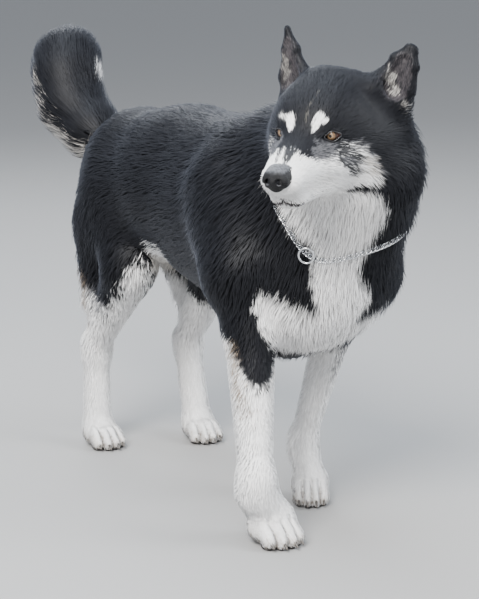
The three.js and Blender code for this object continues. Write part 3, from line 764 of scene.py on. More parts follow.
def tail_fringe(p):
    """Negative on the side of the tail away from the back, where its long hair is pale."""
    result = np.full(len(p), 50.0)
    best = np.full(len(p), 1e9)
    out = unit(vec(-0.62, 0.72, -0.3))
    for form in tail:
        q = p - form.a
        t = np.clip(q @ form.axis / form.length, 0, 1)
        q = q - (t * form.length)[:, None] * form.axis
        gap = np.linalg.norm(q, axis=1)
        near = gap < best
        best[near] = gap[near]
        lean = (q @ out) / (gap + 1e-6)
        result[near] = ((0.62 - lean) * 45)[near]
    return np.maximum(result, (p[:, 2] - 650) * 0.6) + np.clip((best - 58) * 3, 0, 99)


# %% The marks in painting order
MARKS = [  # (colour, how softly it ends, how ragged, how strongly it covers, shape)
    (WHITE, 7, 5, 1, leg_outline([(-430, -20), (-430, 205), (-349, 228), (-311, 262), (-283, 290),
                                  (-215, 300), (-215, -20)], -170, -22)),
    (WHITE, 7, 5, 1, leg_outline([(-330, -20), (-330, 262), (-262, 256), (-225, 260), (-190, 262),
                                  (-150, 240), (-130, -20)], 28, 190)),
    (WHITE, 9, 7, 1, leg_outline([(330, 282), (264, 278), (235, 272), (206, 268), (180, 260), (148, 283),
                                  (117, 314), (104, 352), (93, 384), (40, 384), (40, -20), (400, -20),
                                  (400, 282)], -190, 0)),
    (WHITE, 8, 6, 1, leg_outline([(330, 300), (234, 296), (205, 282), (176, 272), (150, 257), (118, 283),
                                  (87, 314), (74, 352), (63, 384), (20, 384), (20, -20), (400, -20),
                                  (400, 300)], -10, 190)),
    (PALE, 8, 5, 1, tube_mark([(-14, 330, 330), (-14, 120, 372), (2, 0, 350), (6, -190, 318)],
                              [62, 60, 42, 26])),
    (TAN, 9, 6, 0.6, tube_mark([(-122, 284, 292), (-122, 272, 262), (-112, 280, 215)], [16, 13, 7])),
    (TAN, 9, 6, 0.6, tube_mark([(96, 288, 300), (94, 298, 262), (80, 300, 210)], [15, 11, 6])),
    (GREY, 10, 8, 0.5, tube_mark([(-126, 250, 268), (-126, 205, 256), (-118, 195, 236)], [22, 18, 10])),
    (TAN, 9, 6, 0.55, tube_mark([(-120, -290, 276), (-120, -312, 236), (-112, -326, 190)], [13, 11, 6])),
    (TAN * 0.9, 10, 7, 0.4, tube_mark([(-120, -324, 224), (-114, -338, 202), (-110, -346, 184)],
                                      [13, 11, 6])),
    (GREY * 0.6, 9, 6, 0.55, tube_mark([(110, -254, 262), (100, -250, 232), (91, -242, 204),
                                        (97, -226, 150)], [20, 15, 10, 6])),
    (WHITE, 3.5, 3, 1, front_outline([
        (-27, 450), (-25, 405), (-22, 372), (-15, 352), (-12, 333), (-29, 341), (-42, 349), (-57, 355),
        (-74, 363), (-90, 367), (-90, 347), (-84, 326), (-80, 306), (-64, 287), (-40, 275), (-14, 267),
        (10, 266), (40, 274), (72, 290), (104, 305), (126, 317), (126, 333), (105, 327), (80, 321),
        (57, 318), (61, 334), (71, 348), (76, 364), (62, 374), (46, 390), (37, 413), (34, 450)], -205)),
    (WHITE, 5, 4, 1, head_front_outline([
        (-36, -56), (-56, -96), (-72, -122), (-70, -141), (-59, -161), (-43, -176), (-31, -190), (-28, -224),
        (32, -224), (45, -197), (63, -172), (80, -150), (88, -126), (86, -108), (66, -97), (48, -91),
        (34, -56)], -104)),
    (WHITE, 3, 3, 1, cheek_outline([
        (-58, -14), (-40, -6), (-18, -6), (-7, -12), (3, -18), (15, -22), (24, -23), (34, -21), (44, -15),
        (52, -10), (62, -11), (73, -17), (84, -31), (94, -49), (100, -66), (98, -79), (86, -86), (69, -84),
        (51, -90), (44, -112), (-10, -118), (-70, -110), (-90, -60)])),
    (GREY * 0.7, 3, 6, 0.5, cheek_outline([
        (40, -18), (51, -6), (63, -7), (75, -13), (87, -27), (98, -48), (104, -70), (95, -66), (88, -49),
        (78, -31), (68, -20), (54, -17)])),
    (PALE, 5, 4, 1, cheek_outline([(84, -40), (92, -46), (97, -62), (92, -72), (82, -66), (80, -52)])),
    (GREY * 0.75, 5, 5, 0.75, cheek_outline([(6, -10), (10, 2), (26, -4), (40, -9), (46, -24), (36, -33),
                                             (16, -27), (5, -20)])),
    (BLACK, 4, 5, 0.86, cheek_outline([(39, -16), (46, -12), (60, -12), (73, -20), (79, -40), (75, -60),
                                       (64, -66), (52, -52), (42, -36), (36, -26)])),
    (GREY, 2, 3, 0.6, cheek_outline([(46, -28), (58, -30), (66, -42), (62, -46), (50, -36)])),
    (WHITE, 3, 2, 0.9, head_tube([(-4, 97, -17), (-12, 75, -9), (-12, 52, -2)], [14, 7.5, 3.5], False)),
    (WHITE, 3, 2, 0.7, head_tube([(-16, 70, -12), (-22, 54, -8)], [8, 5], False)),
    (BLACK, 2.5, 1.5, 0.92, head_tube([(8, 40, 2), (4, 58, -3), (4, 73, -8), (6, 86, -13)],
                                       [13, 9.5, 7.5, 4], False)),
    (BLACK, 2.5, 1.5, 0.8, head_tube([(-17, 42, 0), (-14, 68, -8), (-12, 84, -14)], [6.5, 4.5, 2], False)),
    (WHITE, 1.6, 1, 1, head_tube([(21, 19, 13), (23, 12, 22), (24.5, 7, 28)], [3.4, 7.6, 7.2], False)),
    (WHITE, 1.8, 1, 1, head_tube([(26, 9, 25), (34, 5, 23)], [6.5, 3.6], False)),
    (WHITE, 1.6, 1, 1, head_tube([(-16, 20, 13), (-18, 15, 20), (-20, 10, 26)], [4.6, 8, 7], False)),
    (WHITE, 3, 2, 0.4, head_tube([(-24, 9, 26), (-34, 4, 27), (-45, -5, 25)], [5, 4.5, 3], False)),
    (BLACK, 2, 1.5, 0.92, head_tube([(27, 10, -2), (41, 5, 0), (55, -4, -1)], [5, 9.5, 5])),
    (PARTING, 1.2, 0.8, 0.5, head_tube([(11, -24, 57), (8, -9, 48), (5, 0, 40), (6, 14, 24)],
                                       [1.6, 1.5, 1.4, 1.0], False)),
    (LIP, 1.4, 0.6, 1, head_tube([(0, 92, -74), (10, 88, -79), (17, 84, -80), (28, 66, -81), (38, 36, -79)],
                                 [3.6, 3.8, 3.4, 2.4, 1.0])),
    (ROAN, 5, 3, 0.6, ear_inside),
    (PALE * 0.7, 4, 4, 0.55, head_tube([(84, -104, 66), (87, -107, 52), (91, -108, 38)], [5, 7.5, 5], False)),
    (PALE * 0.5, 3, 3, 0.5, head_tube([(106, -96, 22), (114, -104, 13)], [4, 5], False)),
    (PALE * 0.35, 3, 4, 0.5, head_tube([(-84, -110, 80), (-78, -108, 66), (-81, -104, 50)], [4, 7, 4],
                                       False)),
    (PALE, 9, 10, 0.85, tail_fringe),
    (WHITE, 5, 4, 1, tube_mark([(-28, 424, 652), (-24, 432, 640)], [13, 12])),
    (BLACK, 1.5, 0, 1, head_tube([(0, 98, -34), (0, 116, -36)], [17.5, 16], False)),
    (DUST, 8, 6, 0.35, lambda p: (p[:, 2] - 20) * 0.8),
    # painted shade in the grooves between the toes
    *[(TOE_GROOVE_SHADE, 2, 1, 0.75, between_toes(paw)) for paw in PAWS.values()],
]


def coat_colour(p, stray=None, pick=None):
    """The colour of the coat at points of the outline. For tufts, stray sets each one a little to one
    side of an edge, and pick decides whether a thin mark colours this tuft or leaves it."""
    made = np.tile(BLACK, (len(p), 1))
    rough = ripple(p, 13, 1) + 0.6 * ripple(p, 5, 2)
    for colour, soft, ragged, cover, shape in MARKS:
        d = shape(p) + rough * ragged * 0.6
        if stray is None:
            t = np.clip(0.5 - d / (2 * soft), 0, 1)
        else:
            t = np.clip(0.5 - (d + stray * soft) / (0.5 * soft), 0, 1)
        t = t * t * (3 - 2 * t)
        t = (t * cover if pick is None else t * (0.3 * cover + 0.7 * (pick < cover)))[:, None]
        made = made * (1 - t) + colour * t
    return made


print(len(MARKS), "marks")

# %% [markdown]
# ## The skin as an object
# The net becomes one mesh. Its unwrap is Blender's own smart projection, which cuts the
# skin into flat islands; the tufts borrow their places on it. Seams drawn by hand would
# follow the body better, but nobody paints on this unwrap, so that wouldn't show.

# %% Skin mesh, unwrap and normals
def mesh_object(name, points, faces):
    mesh = bpy.data.meshes.new(name)
    mesh.from_pydata(metres(points).tolist(), [], [list(map(int, f)) for f in faces])
    mesh.polygons.foreach_set("use_smooth", [True] * len(mesh.polygons))
    made = bpy.data.objects.new(name, mesh)
    bpy.context.scene.collection.objects.link(made)
    return made


def colour_layer(mesh, colours):
    """Gives each point of the mesh its colour, in a layer that the materials read."""
    layer = mesh.color_attributes.new("coat_colour", "FLOAT_COLOR", "POINT")
    opaque = np.column_stack([colours, np.ones(len(colours))])
    layer.data.foreach_set("color", opaque.astype(np.float32).ravel())


skin = mesh_object("skin", skin_points, skin_faces)
bpy.context.view_layer.objects.active = skin
skin.select_set(True)
bpy.ops.object.mode_set(mode="EDIT")
bpy.ops.mesh.select_all(action="SELECT")
bpy.ops.uv.smart_project(angle_limit=1.15, island_margin=0.0005)
bpy.ops.object.mode_set(mode="OBJECT")
skin.select_set(False)
skin.data.uv_layers[0].name = "OFBake"
_, skin_slope = slope_of(skin_forms, skin_points, DEPTH)
skin_normals = unit(skin_slope)
corner_uv = np.zeros(len(skin.data.loops) * 2, np.float32)
skin.data.uv_layers[0].data.foreach_get("uv", corner_uv)
corner_uv = corner_uv.reshape(-1, 4, 2)  # four corners for each face
print("unwrap covers", corner_uv.min((0, 1)).round(3), "to", corner_uv.max((0, 1)).round(3))


# %% [markdown]
# Between the tufts shows the underfur, a short dull wool. Its material takes its colour from
# a colour layer with the markings, broken up by a fine noise that raises small bumps as well.
# The guard hairs get the same material with more gloss and no bumps, because the tufts
# themselves are the relief. A faint bluish sheen stands for light that runs along the hair.

# %% Skin and coat materials
def node(tree, kind, **sockets):
    """A new node in the tree of a material, with its sockets given in the same way."""
    made = tree.nodes.new("ShaderNode" + kind)
    for key, value in sockets.items():
        made.inputs[key.replace("_", " ")].default_value = value
    return made


def colour_of(tree):
    """The colour layer, as a node's output."""
    layer = node(tree, "Attribute")
    layer.attribute_name = "coat_colour"
    return layer.outputs["Color"]


def relief_from(tree, principled, height, strength, distance):
    """Bumps on the material, taken from another node's output."""
    relief = node(tree, "Bump", Strength=strength, Distance=distance)
    tree.links.new(height, relief.inputs["Height"])
    tree.links.new(relief.outputs["Normal"], principled.inputs["Normal"])
    return relief


def fur_shader(name, roughness, sheen, bump, grain):
    material, tree, principled = shader(
        name, Roughness=roughness, IOR=1.45, Specular_IOR_Level=0.2, Sheen_Weight=sheen,
        Sheen_Roughness=0.4, Sheen_Tint=(0.72, 0.8, 1.0, 1))
    noise = node(tree, "TexNoise", Scale=grain, Detail=3)
    span = node(tree, "MapRange", To_Min=0.80, To_Max=1.18)
    mix = node(tree, "Mix")
    mix.data_type = "RGBA"
    mix.blend_type = "MULTIPLY"
    mix.inputs["Factor"].default_value = 1
    tree.links.new(noise.outputs["Fac"], span.inputs["Value"])
    tree.links.new(colour_of(tree), mix.inputs["A"])
    tree.links.new(span.outputs["Result"], mix.inputs["B"])
    tree.links.new(mix.outputs["Result"], principled.inputs["Base Color"])
    if bump:
        relief_from(tree, principled, noise.outputs["Fac"], bump, 0.001)
    return material


underfur = fur_shader("underfur", 0.8, 0.03, 0.6, 700)
guard_hair = fur_shader("guard_hair", 0.55, 0.07, 0, 350)
skin_depth = -distance_to(body, skin_points)
# painted shade: the underfur takes the coat's colours 15 % darker, as shade under and between the tufts
colour_layer(skin.data, coat_colour(skin_points + skin_normals * skin_depth[:, None]) * 0.85)
skin.data.materials.append(underfur)
NOT_FLESH = ("eye", "nose", "neck_chain", "chain_ring", "foreclaw", "hindclaw")
flesh = [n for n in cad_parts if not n.startswith(NOT_FLESH)]
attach(skin, "root")
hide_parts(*flesh)
print("skin stands for", len(flesh), "parts")

# %% [markdown]
# ## The coat
# Hair in Blender is usually a particle system or hair curves, and the export keeps neither,
# so every tuft here is a small closed spike of mesh. They start at random points of the
# skin, more of them where the coat is finer. Each place on the skin takes the length, width,
# spacing and lie of its tufts from the forms nearest to it, blended, so the coat changes
# slowly from one area to the next. The soles, the nose and the eyes stay bare.

# %% What the coat is like at each point of the skin
def coat_at(p):
    """Blends the coat table and the lie of the nearest forms at points of the skin."""
    gaps = np.full((len(body), len(p)), 400.0, np.float32)
    for gap, form in zip(gaps, body):
        near = ((p - form.middle) ** 2).sum(1) < form.reach ** 2
        gap[near] = np.abs(form.distance(p[near], DEPTH[form.area]))
        if form.cut:
            gap[near] += 1.5
    weight = np.exp(-(gaps - gaps.min(0)) / 9)
    weight /= weight.sum(0)
    table = np.array([COAT[f.area] for f in body])
    way = np.array([LIE.get(f.area, f.axis) for f in body])
    return weight.T @ table, weight.T @ way, np.array([f.area for f in body])[gaps.argmin(0)]


PIECES = {  # piece: its areas, rings between root and tip, tufts at most
    "coat_muzzle": ("bridge muzzle jaw nose lips", 1, 15000),
    "coat_skull": ("skull brow lid slit", 1, 12500),
    "coat_cheeks": ("cheek_left cheek_right", 1, 5000),
    "coat_ears": ("ear_left ear_right hollow", 1, 8000),
    "coat_neck": ("neck nape", 2, 7500),
    "coat_throat": ("throat", 1, 10500),
    "coat_chest": ("breast", 1, 8500),
    "coat_shoulders": ("shoulder upper_arm", 1, 8500),
    "coat_ribs": ("ribs belly withers", 1, 19500),
    "coat_hindquarters": ("loin rump", 1, 8500),
    "coat_thighs": ("thigh breech", 2, 8000),
    "coat_tail": ("tail", 2, 11000),
    "coat_forelegs": ("forearm pastern", 1, 11000),
    "coat_hindlegs": ("shank hock", 1, 6500),
    "coat_paws": ("paw toe gap", 1, 8000),
}
SOLE_EDGE = 6  # the soles are bare below this height
piece_of = {area: name for name, (areas, _, _) in PIECES.items() for area in areas.split()}


def twice_area(a, b, c):
    return np.linalg.norm(np.cross(b - a, c - a), axis=1)


corners_of = skin_points[skin_faces]
first, second, third, fourth = [corners_of[:, k] for k in range(4)]
face_area = 0.5 * (twice_area(first, second, third) + twice_area(first, third, fourth))
face_middle = corners_of.mean(1)
face_coat, _, face_where = coat_at(face_middle)
wanted = face_area / face_coat[:, 3] ** 2
wanted[face_middle[:, 2] < SOLE_EDGE] = 0
wanted[face_where == "nose"] = 0
face_piece = np.array([piece_of[a] for a in face_where])
for name in PIECES:
    on = face_piece == name
    print(f"{name}: {wanted[on].sum():.0f} tufts wanted on {face_area[on].sum() / 100:.0f} cm2")


# %% Bare places round the eyes
OPENING_WIDE, OPENING_HIGH = 14.5, 8.0  # half-sizes of the opening between the lids


def in_eye_opening(p, grow=0.0):
    """True where a point lies before the opening of an eye, which stays free of hair."""
    hit = np.zeros(len(p), bool)
    for side in (1, -1):
        out, along, up = eye_axes(side)
        q = p - eye_centre(side)
        u, v = (q @ along) / (OPENING_WIDE + grow), (q @ up) / (OPENING_HIGH + grow)
        hit |= (u * u + v * v < 1) & (q @ out > 3)
    return hit


wanted[in_eye_opening(face_middle, 0.5)] = 0


# %% [markdown]
# A tuft leaves the skin steeply, then lies down along the coat and ends just under the
# outline of the CAD, which is the true outline. Where the coat is deep, a few guard hairs
# stand proud of it by some millimetres, and round the sides and the back of the neck the
# tufts rise over the chain. A slow noise turns and sinks neighbours together, so that they
# form locks, as hair does.

# %% Tufts for one piece
LOWEST_HAIR = 1.4  # no ring of a tuft comes nearer to the floor
CHAIN_RISE = 6  # the tips stand this far over the outline where the coat closes over the chain
STEPS = {1: (0.5, 1), 2: (0.34, 0.68, 1)}  # for each number of rings, how far along they and the tip lie


def tuft_paths(name):
    """Roots, rings and colours of the tufts of one piece, all of them following the outline."""
    _, rings, most = PIECES[name]
    on = np.flatnonzero((face_piece == name) & (wanted > 0))
    share = np.cumsum(wanted[on]) / wanted[on].sum()
    number = min(int(wanted[on].sum()), most)
    face = on[np.searchsorted(share, (np.arange(number) + rng.random(number)) / number)]
    a, b = rng.random((2, number, 1))
    blend = [(1 - a) * (1 - b), a * (1 - b), a * b, (1 - a) * b]
    corners = skin_faces[face]
    root = sum(w * skin_points[corners[:, k]] for k, w in enumerate(blend))
    uv = sum(w * corner_uv[face][:, k] for k, w in enumerate(blend))
    normal = unit(sum(w * skin_normals[corners[:, k]] for k, w in enumerate(blend)))
    table, way, _ = coat_at(root)
    depth = np.clip(-distance_to(body, root), 0.6, 40)
    lie = unit(way - normal * (way * normal).sum(1)[:, None])
    turn = 0.13 * ripple(root, 80, 11) + 0.10 * ripple(root, 26, 12) + rng.normal(0, 0.10, number)
    lie = lie * np.cos(turn)[:, None] + np.cross(normal, lie) * np.sin(turn)[:, None]
    length = table[:, 1] * rng.uniform(0.75, 1.2, number)
    width = table[:, 2] * rng.uniform(0.75, 1.2, number)
    sink = np.clip(0.14 + 0.08 * ripple(root, 19, 13) + rng.uniform(-0.09, 0.10, number), 0.02, 0.6)
    proud = rng.random(number) < np.clip((depth - 15) / 20, 0, 0.3)
    sink[proud] = -rng.uniform(1, 5, proud.sum()) / depth[proud]
    spine, outward = [root - normal * 0.8], [normal]
    for s in STEPS[rings]:
        q = root + lie * (length * s)[:, None] + normal * (depth * (1 - (1 - s) ** 2))[:, None]
        goal = -depth * ((1 - s) ** 2 + sink * s) + CHAIN_RISE * s * over_chain(q)
        for _ in range(2):
            value, slope = slope_of(body, q)
            slope = unit(slope)
            q = q - slope * np.clip(value - goal, -25, 25)[:, None]
            q[:, 2] = np.maximum(q[:, 2], LOWEST_HAIR)
        spine.append(q)
        outward.append(slope)
    stray = np.clip(rng.normal(0, 0.4, number), -1, 1)
    pick, tone = rng.random(number), rng.uniform(0.88, 1.12, number)[:, None]
    colour = [coat_colour(q, stray, pick) * tone for q in spine[1:]]
    colour = np.stack([colour[0], *colour], 1)
    keep = ~(in_eye_opening(spine[-1]) | in_eye_opening(spine[1]))
    return [x[keep] for x in (np.stack(spine, 1), np.stack(outward, 1), uv, width, colour)]


# %% [markdown]
# A tuft is a spike with three sides. It is thickest some way up, ends in a point and is
# closed at the root too, so that it is a solid body. Flat cards with a picture of hair are
# lighter, but they have no thickness, and their edges show. The normals follow the outline
# more than the sides of the spike, and so the tufts shade as one coat.

# %% The shape of a tuft
THICKNESS = {3: (0.75, 1.0), 4: (0.7, 1.0, 0.72)}  # of 3 or 4 levels, how thick those below the tip are
ROOT_SHADE_TIP_SHEEN = {  # painted shade at the root and painted sheen at the tip: how light the root is, the gain along the tuft, and the tip
    "dark": (0.75, 0.3, 1.12),
    "light": (0.83, 0.19, 1.04),
}
DARK_BELOW = 0.12  # how bright a tuft may be and still count as dark
BAKE_PATCH = 0.003  # how wide a tuft's patch is on the unwrap


def tuft_faces(levels):
    """The faces of one tuft, whose tip is its last point, and the place of each corner in its patch."""
    faces, places = [(0, 2, 1)], [(0, 0), (2 / 3, 0), (1 / 3, 0)]
    for level in range(levels - 1):
        low, high = level / (levels - 1), (level + 1) / (levels - 1)
        for k in range(3):
            a, b = level * 3 + k, level * 3 + (k + 1) % 3
            places += [(k / 3, low), ((k + 1) / 3, low)]
            if level < levels - 2:
                faces.append((a, b, b + 3, a + 3))
                places += [((k + 1) / 3, high), (k / 3, high)]
            else:
                faces.append((a, b, (levels - 1) * 3))
                places.append(((k + 0.5) / 3, 1))
    return faces, places


def tuft_points(spine, outward, width, colour):
    """Points, normals and colours of all tufts of one piece, three points on each level and a tip."""
    number, levels = spine.shape[:2]
    run = unit(spine[:, -1] - spine[:, 0])
    turned = rng.uniform(0, 2 * np.pi / 3, number)
    is_dark = colour.mean((1, 2)) < DARK_BELOW
    root, gain, tip = [np.where(is_dark, a, b)[:, None] for a, b in zip(ROOT_SHADE_TIP_SHEEN["dark"], ROOT_SHADE_TIP_SHEEN["light"])]
    points, normals, shades = [], [], []
    for level, size in enumerate(THICKNESS[levels]):
        across = unit(np.cross(outward[:, level], run))
        for k in range(3):
            angle = turned + k * 2 * np.pi / 3
            side = across * np.cos(angle)[:, None] + outward[:, level] * np.sin(angle)[:, None] * 0.6
            points.append(spine[:, level] + side * (width * size / 2)[:, None])
            normals.append(unit(0.84 * outward[:, level] + 0.16 * side))
            # painted shade: each level is darker the nearer it lies to the root
            shades.append(colour[:, level] * (root + gain * (level / (levels - 1))))
    points.append(spine[:, -1])
    normals.append(outward[:, -1])
    # painted sheen: the tip is lighter
    shades.append(colour[:, -1] * tip)
    return [np.stack(x, 1).reshape(-1, 3) for x in (points, normals, shades)]


# %% [markdown]
# There are far too many tufts to build one by one. All points of a piece are worked out as
# one array, and foreach_set writes such arrays straight into the mesh.

# %% Tufts as a mesh
def coat_piece(name):
    """Builds one piece of the coat and gives the number of its triangles."""
    spine, outward, uv, width, colour = tuft_paths(name)
    number, levels = spine.shape[:2]
    points, normals, shades = tuft_points(spine, outward, width, colour)
    faces, places = tuft_faces(levels)
    flat = np.concatenate([np.array(f) for f in faces])
    starts = np.cumsum([0] + [len(f) for f in faces[:-1]])
    tuft = np.arange(number)[:, None]
    mesh = bpy.data.meshes.new(name)
    mesh.vertices.add(len(points))
    mesh.vertices.foreach_set("co", metres(points).astype(np.float32).ravel())
    mesh.loops.add(number * len(flat))
    in_tuft = 3 * (levels - 1) + 1
    mesh.loops.foreach_set("vertex_index", (tuft * in_tuft + flat).astype(np.int32).ravel())
    mesh.polygons.add(number * len(faces))
    mesh.polygons.foreach_set("loop_start", (tuft * len(flat) + starts).astype(np.int32).ravel())
    mesh.update(calc_edges=True)
    mesh.polygons.foreach_set("use_smooth", [True] * len(mesh.polygons))
    layer = mesh.uv_layers.new(name="OFBake")
    patch = uv[:, None, :] + (np.array(places) - 0.5) * BAKE_PATCH
    layer.data.foreach_set("uv", patch.astype(np.float32).ravel())
    colour_layer(mesh, shades)
    mesh.normals_split_custom_set_from_vertices(normals.astype(np.float32))
    mesh.materials.append(guard_hair)
    made = bpy.data.objects.new(name, mesh)
    bpy.context.scene.collection.objects.link(made)
    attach(made, "root")
    triangles = number * sum(len(f) - 2 for f in faces)
    print(f"{name}: {number} tufts, {triangles} triangles")
    return triangles


print("coat:", sum(coat_piece(name) for name in PIECES), "triangles")


# %% [markdown]
# ## Round stock
# Lid rims, lips, claws, whiskers, the chain's links and its ring are all bars of a round
# section along a path, so one helper serves them all. Blender's curve objects could do the
# same, but a plain mesh keeps its exact size in the export.

# %% A bar along a path
def bar(path, radii, sides, closed=False, up=UP):
    """Points and faces of a round bar. Its first section is turned so that its first side faces up."""
    path = np.asarray(path, float)
    run = unit(np.roll(path, -1, 0) - np.roll(path, 1, 0)) if closed else unit(np.gradient(path, axis=0))
    normal = np.zeros_like(path)
    normal[0] = unit(up - run[0] * np.dot(up, run[0]))
    for i in range(1, len(path)):
        normal[i] = unit(normal[i - 1] - run[i] * np.dot(normal[i - 1], run[i]))
    side = np.cross(run, normal)
    angle = np.arange(sides) * 2 * np.pi / sides
    ring = normal[:, None] * np.cos(angle)[:, None] + side[:, None] * np.sin(angle)[:, None]
    points = (path[:, None] + ring * np.broadcast_to(radii, len(path))[:, None, None]).reshape(-1, 3)
    count = len(path)
    faces = []
    for i in range(count if closed else count - 1):
        j = (i + 1) % count
        faces += [(i * sides + k, i * sides + (k + 1) % sides, j * sides + (k + 1) % sides, j * sides + k)
                  for k in range(sides)]
    if not closed:
        faces += [tuple(range(sides))[::-1], tuple((count - 1) * sides + k for k in range(sides))]
    return points, faces


def joined(parts):
    """Points and faces of several bars as those of one mesh."""
    points, faces, start = [], [], 0
    for more, its_faces in parts:
        points.append(more)
        faces += [tuple(int(i) + start for i in f) for f in its_faces]
        start += len(more)
    return np.concatenate(points), faces


def place(name, points, faces, material, slot, *nodes, colour=None):
    """Makes a piece that stands for the nodes; colour is one for the whole piece or one for each point."""
    made = mesh_object(name, points, faces)
    if colour is not None:
        colour_layer(made.data, np.broadcast_to(colour, (len(points), 3)))
    made.data.materials.append(material)
    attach(made, "root")
    if nodes:
        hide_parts(*nodes)
    print(name, len(made.data.vertices), "points")


# %% [markdown]
# ## Eyes
# A dog's eye is a ball of about 23 mm with a cornea that bulges a little. Brown irises show
# between dark lids. Each eye is a net of rings round the line of sight, close together
# over the iris, so that the pupil, the streaks and the dark rim of the iris can be painted
# point by point. A clear, wet coat on the shader gives the small bright reflections.

# %% Eyeballs
def pitted(name, scale, strength, distance, **sockets):
    """A material with the colour layer as its colour and a fine bump from a noise."""
    material, tree, principled = shader(name, **sockets)
    tree.links.new(colour_of(tree), principled.inputs["Base Color"])
    noise = node(tree, "TexNoise", Scale=scale, Detail=2)
    relief_from(tree, principled, noise.outputs["Fac"], strength, distance)
    return material


wet_eye = pitted("wet_eye", 900, 0.05, 0.0002, Roughness=0.3, IOR=1.376, Coat_Weight=1.0,
                 Coat_Roughness=0.03, Coat_IOR=1.4)
PUPIL_END, GOLD_END, GOLD_FADE = 12, 24, 9  # in degrees from the line of sight
IRIS, GOLD, RIM = vec(0.15, 0.085, 0.042), vec(0.30, 0.20, 0.115), vec(0.012, 0.008, 0.006)
CORNER, PUPIL = vec(0.050, 0.020, 0.014), vec(0.004, 0.004, 0.005)
EYE_TURNS = 72  # points on each ring


def eyeball(s):
    gaze = unit(head_way(0.10 * s, 0.99, 0.03))
    side = unit(np.cross(UP, gaze))
    top = np.cross(gaze, side)
    rings = np.radians(np.concatenate([np.linspace(1.5, 48, 32), np.linspace(54, 172, 16)]))
    turns = np.arange(EYE_TURNS) * 2 * np.pi / EYE_TURNS
    a, t = [x.ravel() for x in np.meshgrid(rings, turns, indexing="ij")]
    bulge = 0.7 * np.clip(1 - (a / math.radians(40)) ** 2, 0, 1)
    around = side * np.cos(t)[:, None] + top * np.sin(t)[:, None]
    way = gaze * np.cos(a)[:, None] + around * np.sin(a)[:, None]
    points = eye_centre(s) + way * (EYE_RADIUS + bulge)[:, None]
    degrees = np.degrees(a)
    streak = 0.8 + 0.14 * np.sin(t * 23 + 1.3) + 0.12 * np.sin(t * 41) + 0.1 * np.sin(t * 9 + degrees * 0.15)
    iris = IRIS * streak[:, None]
    near = np.clip((GOLD_END - degrees) / GOLD_FADE, 0, 1)[:, None]
    colours = iris * (1 - near) + GOLD * streak[:, None] * near
    for start, end, colour in ((33, 38, RIM), (42, 47, CORNER)):  # where each comes in, in degrees
        blend = np.clip((degrees - start) / (end - start), 0, 1)[:, None]
        colours = colours * (1 - blend) + colour * blend
    pupil = np.clip((PUPIL_END - degrees) / 2, 0, 1)[:, None]
    colours = colours * (1 - pupil) + PUPIL * pupil
    faces = []
    for i in range(len(rings) - 1):
        a, b = i * EYE_TURNS, (i + 1) * EYE_TURNS
        faces += [(a + k, b + k, b + (k + 1) % EYE_TURNS, a + (k + 1) % EYE_TURNS) for k in range(EYE_TURNS)]
    faces += [tuple(range(EYE_TURNS)), tuple(range((len(rings) - 1) * EYE_TURNS, len(points)))[::-1]]
    name = "left" if s > 0 else "right"
    place("eyeball_" + name, points, faces, wet_eye, "eye", "eye_" + name, colour=colours)


eyeball(1)
eyeball(-1)

# %% [markdown]
# The edge of the lids is bare, black and damp. It follows the line where the lid and the
# slit meet, which is found by drawing a rough almond onto both surfaces in turn.

# %% Lid rims
damp_black = pitted("damp_black", 1200, 0.3, 0.0004, Roughness=0.33, IOR=1.45, Coat_Weight=0.3,
                    Coat_Roughness=0.15)


def rim(s):
    out, along, up = eye_axes(s)
    t = np.arange(EYE_TURNS) * 2 * np.pi / EYE_TURNS
    p = eye_centre(s) + out * 11 + along * (14 * np.cos(t))[:, None] + up * (6.6 * np.sin(t))[:, None]
    closed_lids = body + lid(s)[:1]
    slit = lid(s)[1:]

    def to_slit(q):
        return np.min([f.distance(q) for f in slit], axis=0)

    for _ in range(14):
        here, slope = slope_of(closed_lids, p, DEPTH, 0.2)
        p = p - unit(slope) * np.clip(here, -2, 2)[:, None] * 0.8
        here = to_slit(p)
        ahead_of = np.stack([to_slit(p + e) for e in np.eye(3) * 0.2], 1)
        p = p - unit(ahead_of - here[:, None]) * np.clip(here - 0.2, -2, 2)[:, None] * 0.8
    p = (p + np.roll(p, 1, 0) + np.roll(p, -1, 0)) / 3
    return bar(p, 0.9, 8, closed=True)


rim_points, rim_faces = joined([rim(1), rim(-1)])
place("lid_rims", rim_points, rim_faces, damp_black, "nose_leather", colour=vec(0.010, 0.009, 0.010))

# %% [markdown]
# ## Nose and lips
# The nose leather is bare and pebbled, a lighter bluish grey where it faces up and black in
# front, with a comma-shaped nostril on each side and a groove down the middle. It is a surface
# net of its own, with lines less than a millimetre apart, for the skin's grid is too coarse.

# %% Nose leather
nose_forms = [
    Form("nose", head_point(0, 96, -33), head_point(0, 107, -35), (18, 15), (15.5, 13), 5, LEFT),
    Form("nose", head_point(0, 90, -23), head_point(0, 109, -25.5), (17.5, 6.5), (15.5, 6.5), 5, LEFT),
    Form("nose", head_point(11, 100, -35), head_point(11.5, 108, -36), (10, 11), (8.5, 10), 5, LEFT),
    Form("nose", head_point(-11, 100, -35), head_point(-11.5, 108, -36), (10, 11), (8.5, 10), 5, LEFT),
    Form("nose", head_point(0, 98, -46), head_point(0, 108, -46), (9, 8), (8, 6), 6, LEFT),
]
for s in (1, -1):
    nose_forms += [
        Form("nose", head_point(7 * s, 130, -33), head_point(9.5 * s, 110, -36), (4.2, 5), (3.4, 4), 2, LEFT,
             cut=True),
        Form("nose", head_point(9 * s, 124, -38), head_point(21 * s, 106, -43), (3.2, 2.0), (2.2, 1.3), 2,
             CROWN, cut=True),
    ]
nose_forms.append(Form("nose", head_point(0, 128, -34), head_point(0, 116, -60), (1.0, 1.0), (1.4, 1.4), 2.5,
                       LEFT, cut=True))
NOSE_BLACK, NOSE_GREY = vec(0.004, 0.004, 0.005), vec(0.085, 0.088, 0.098)
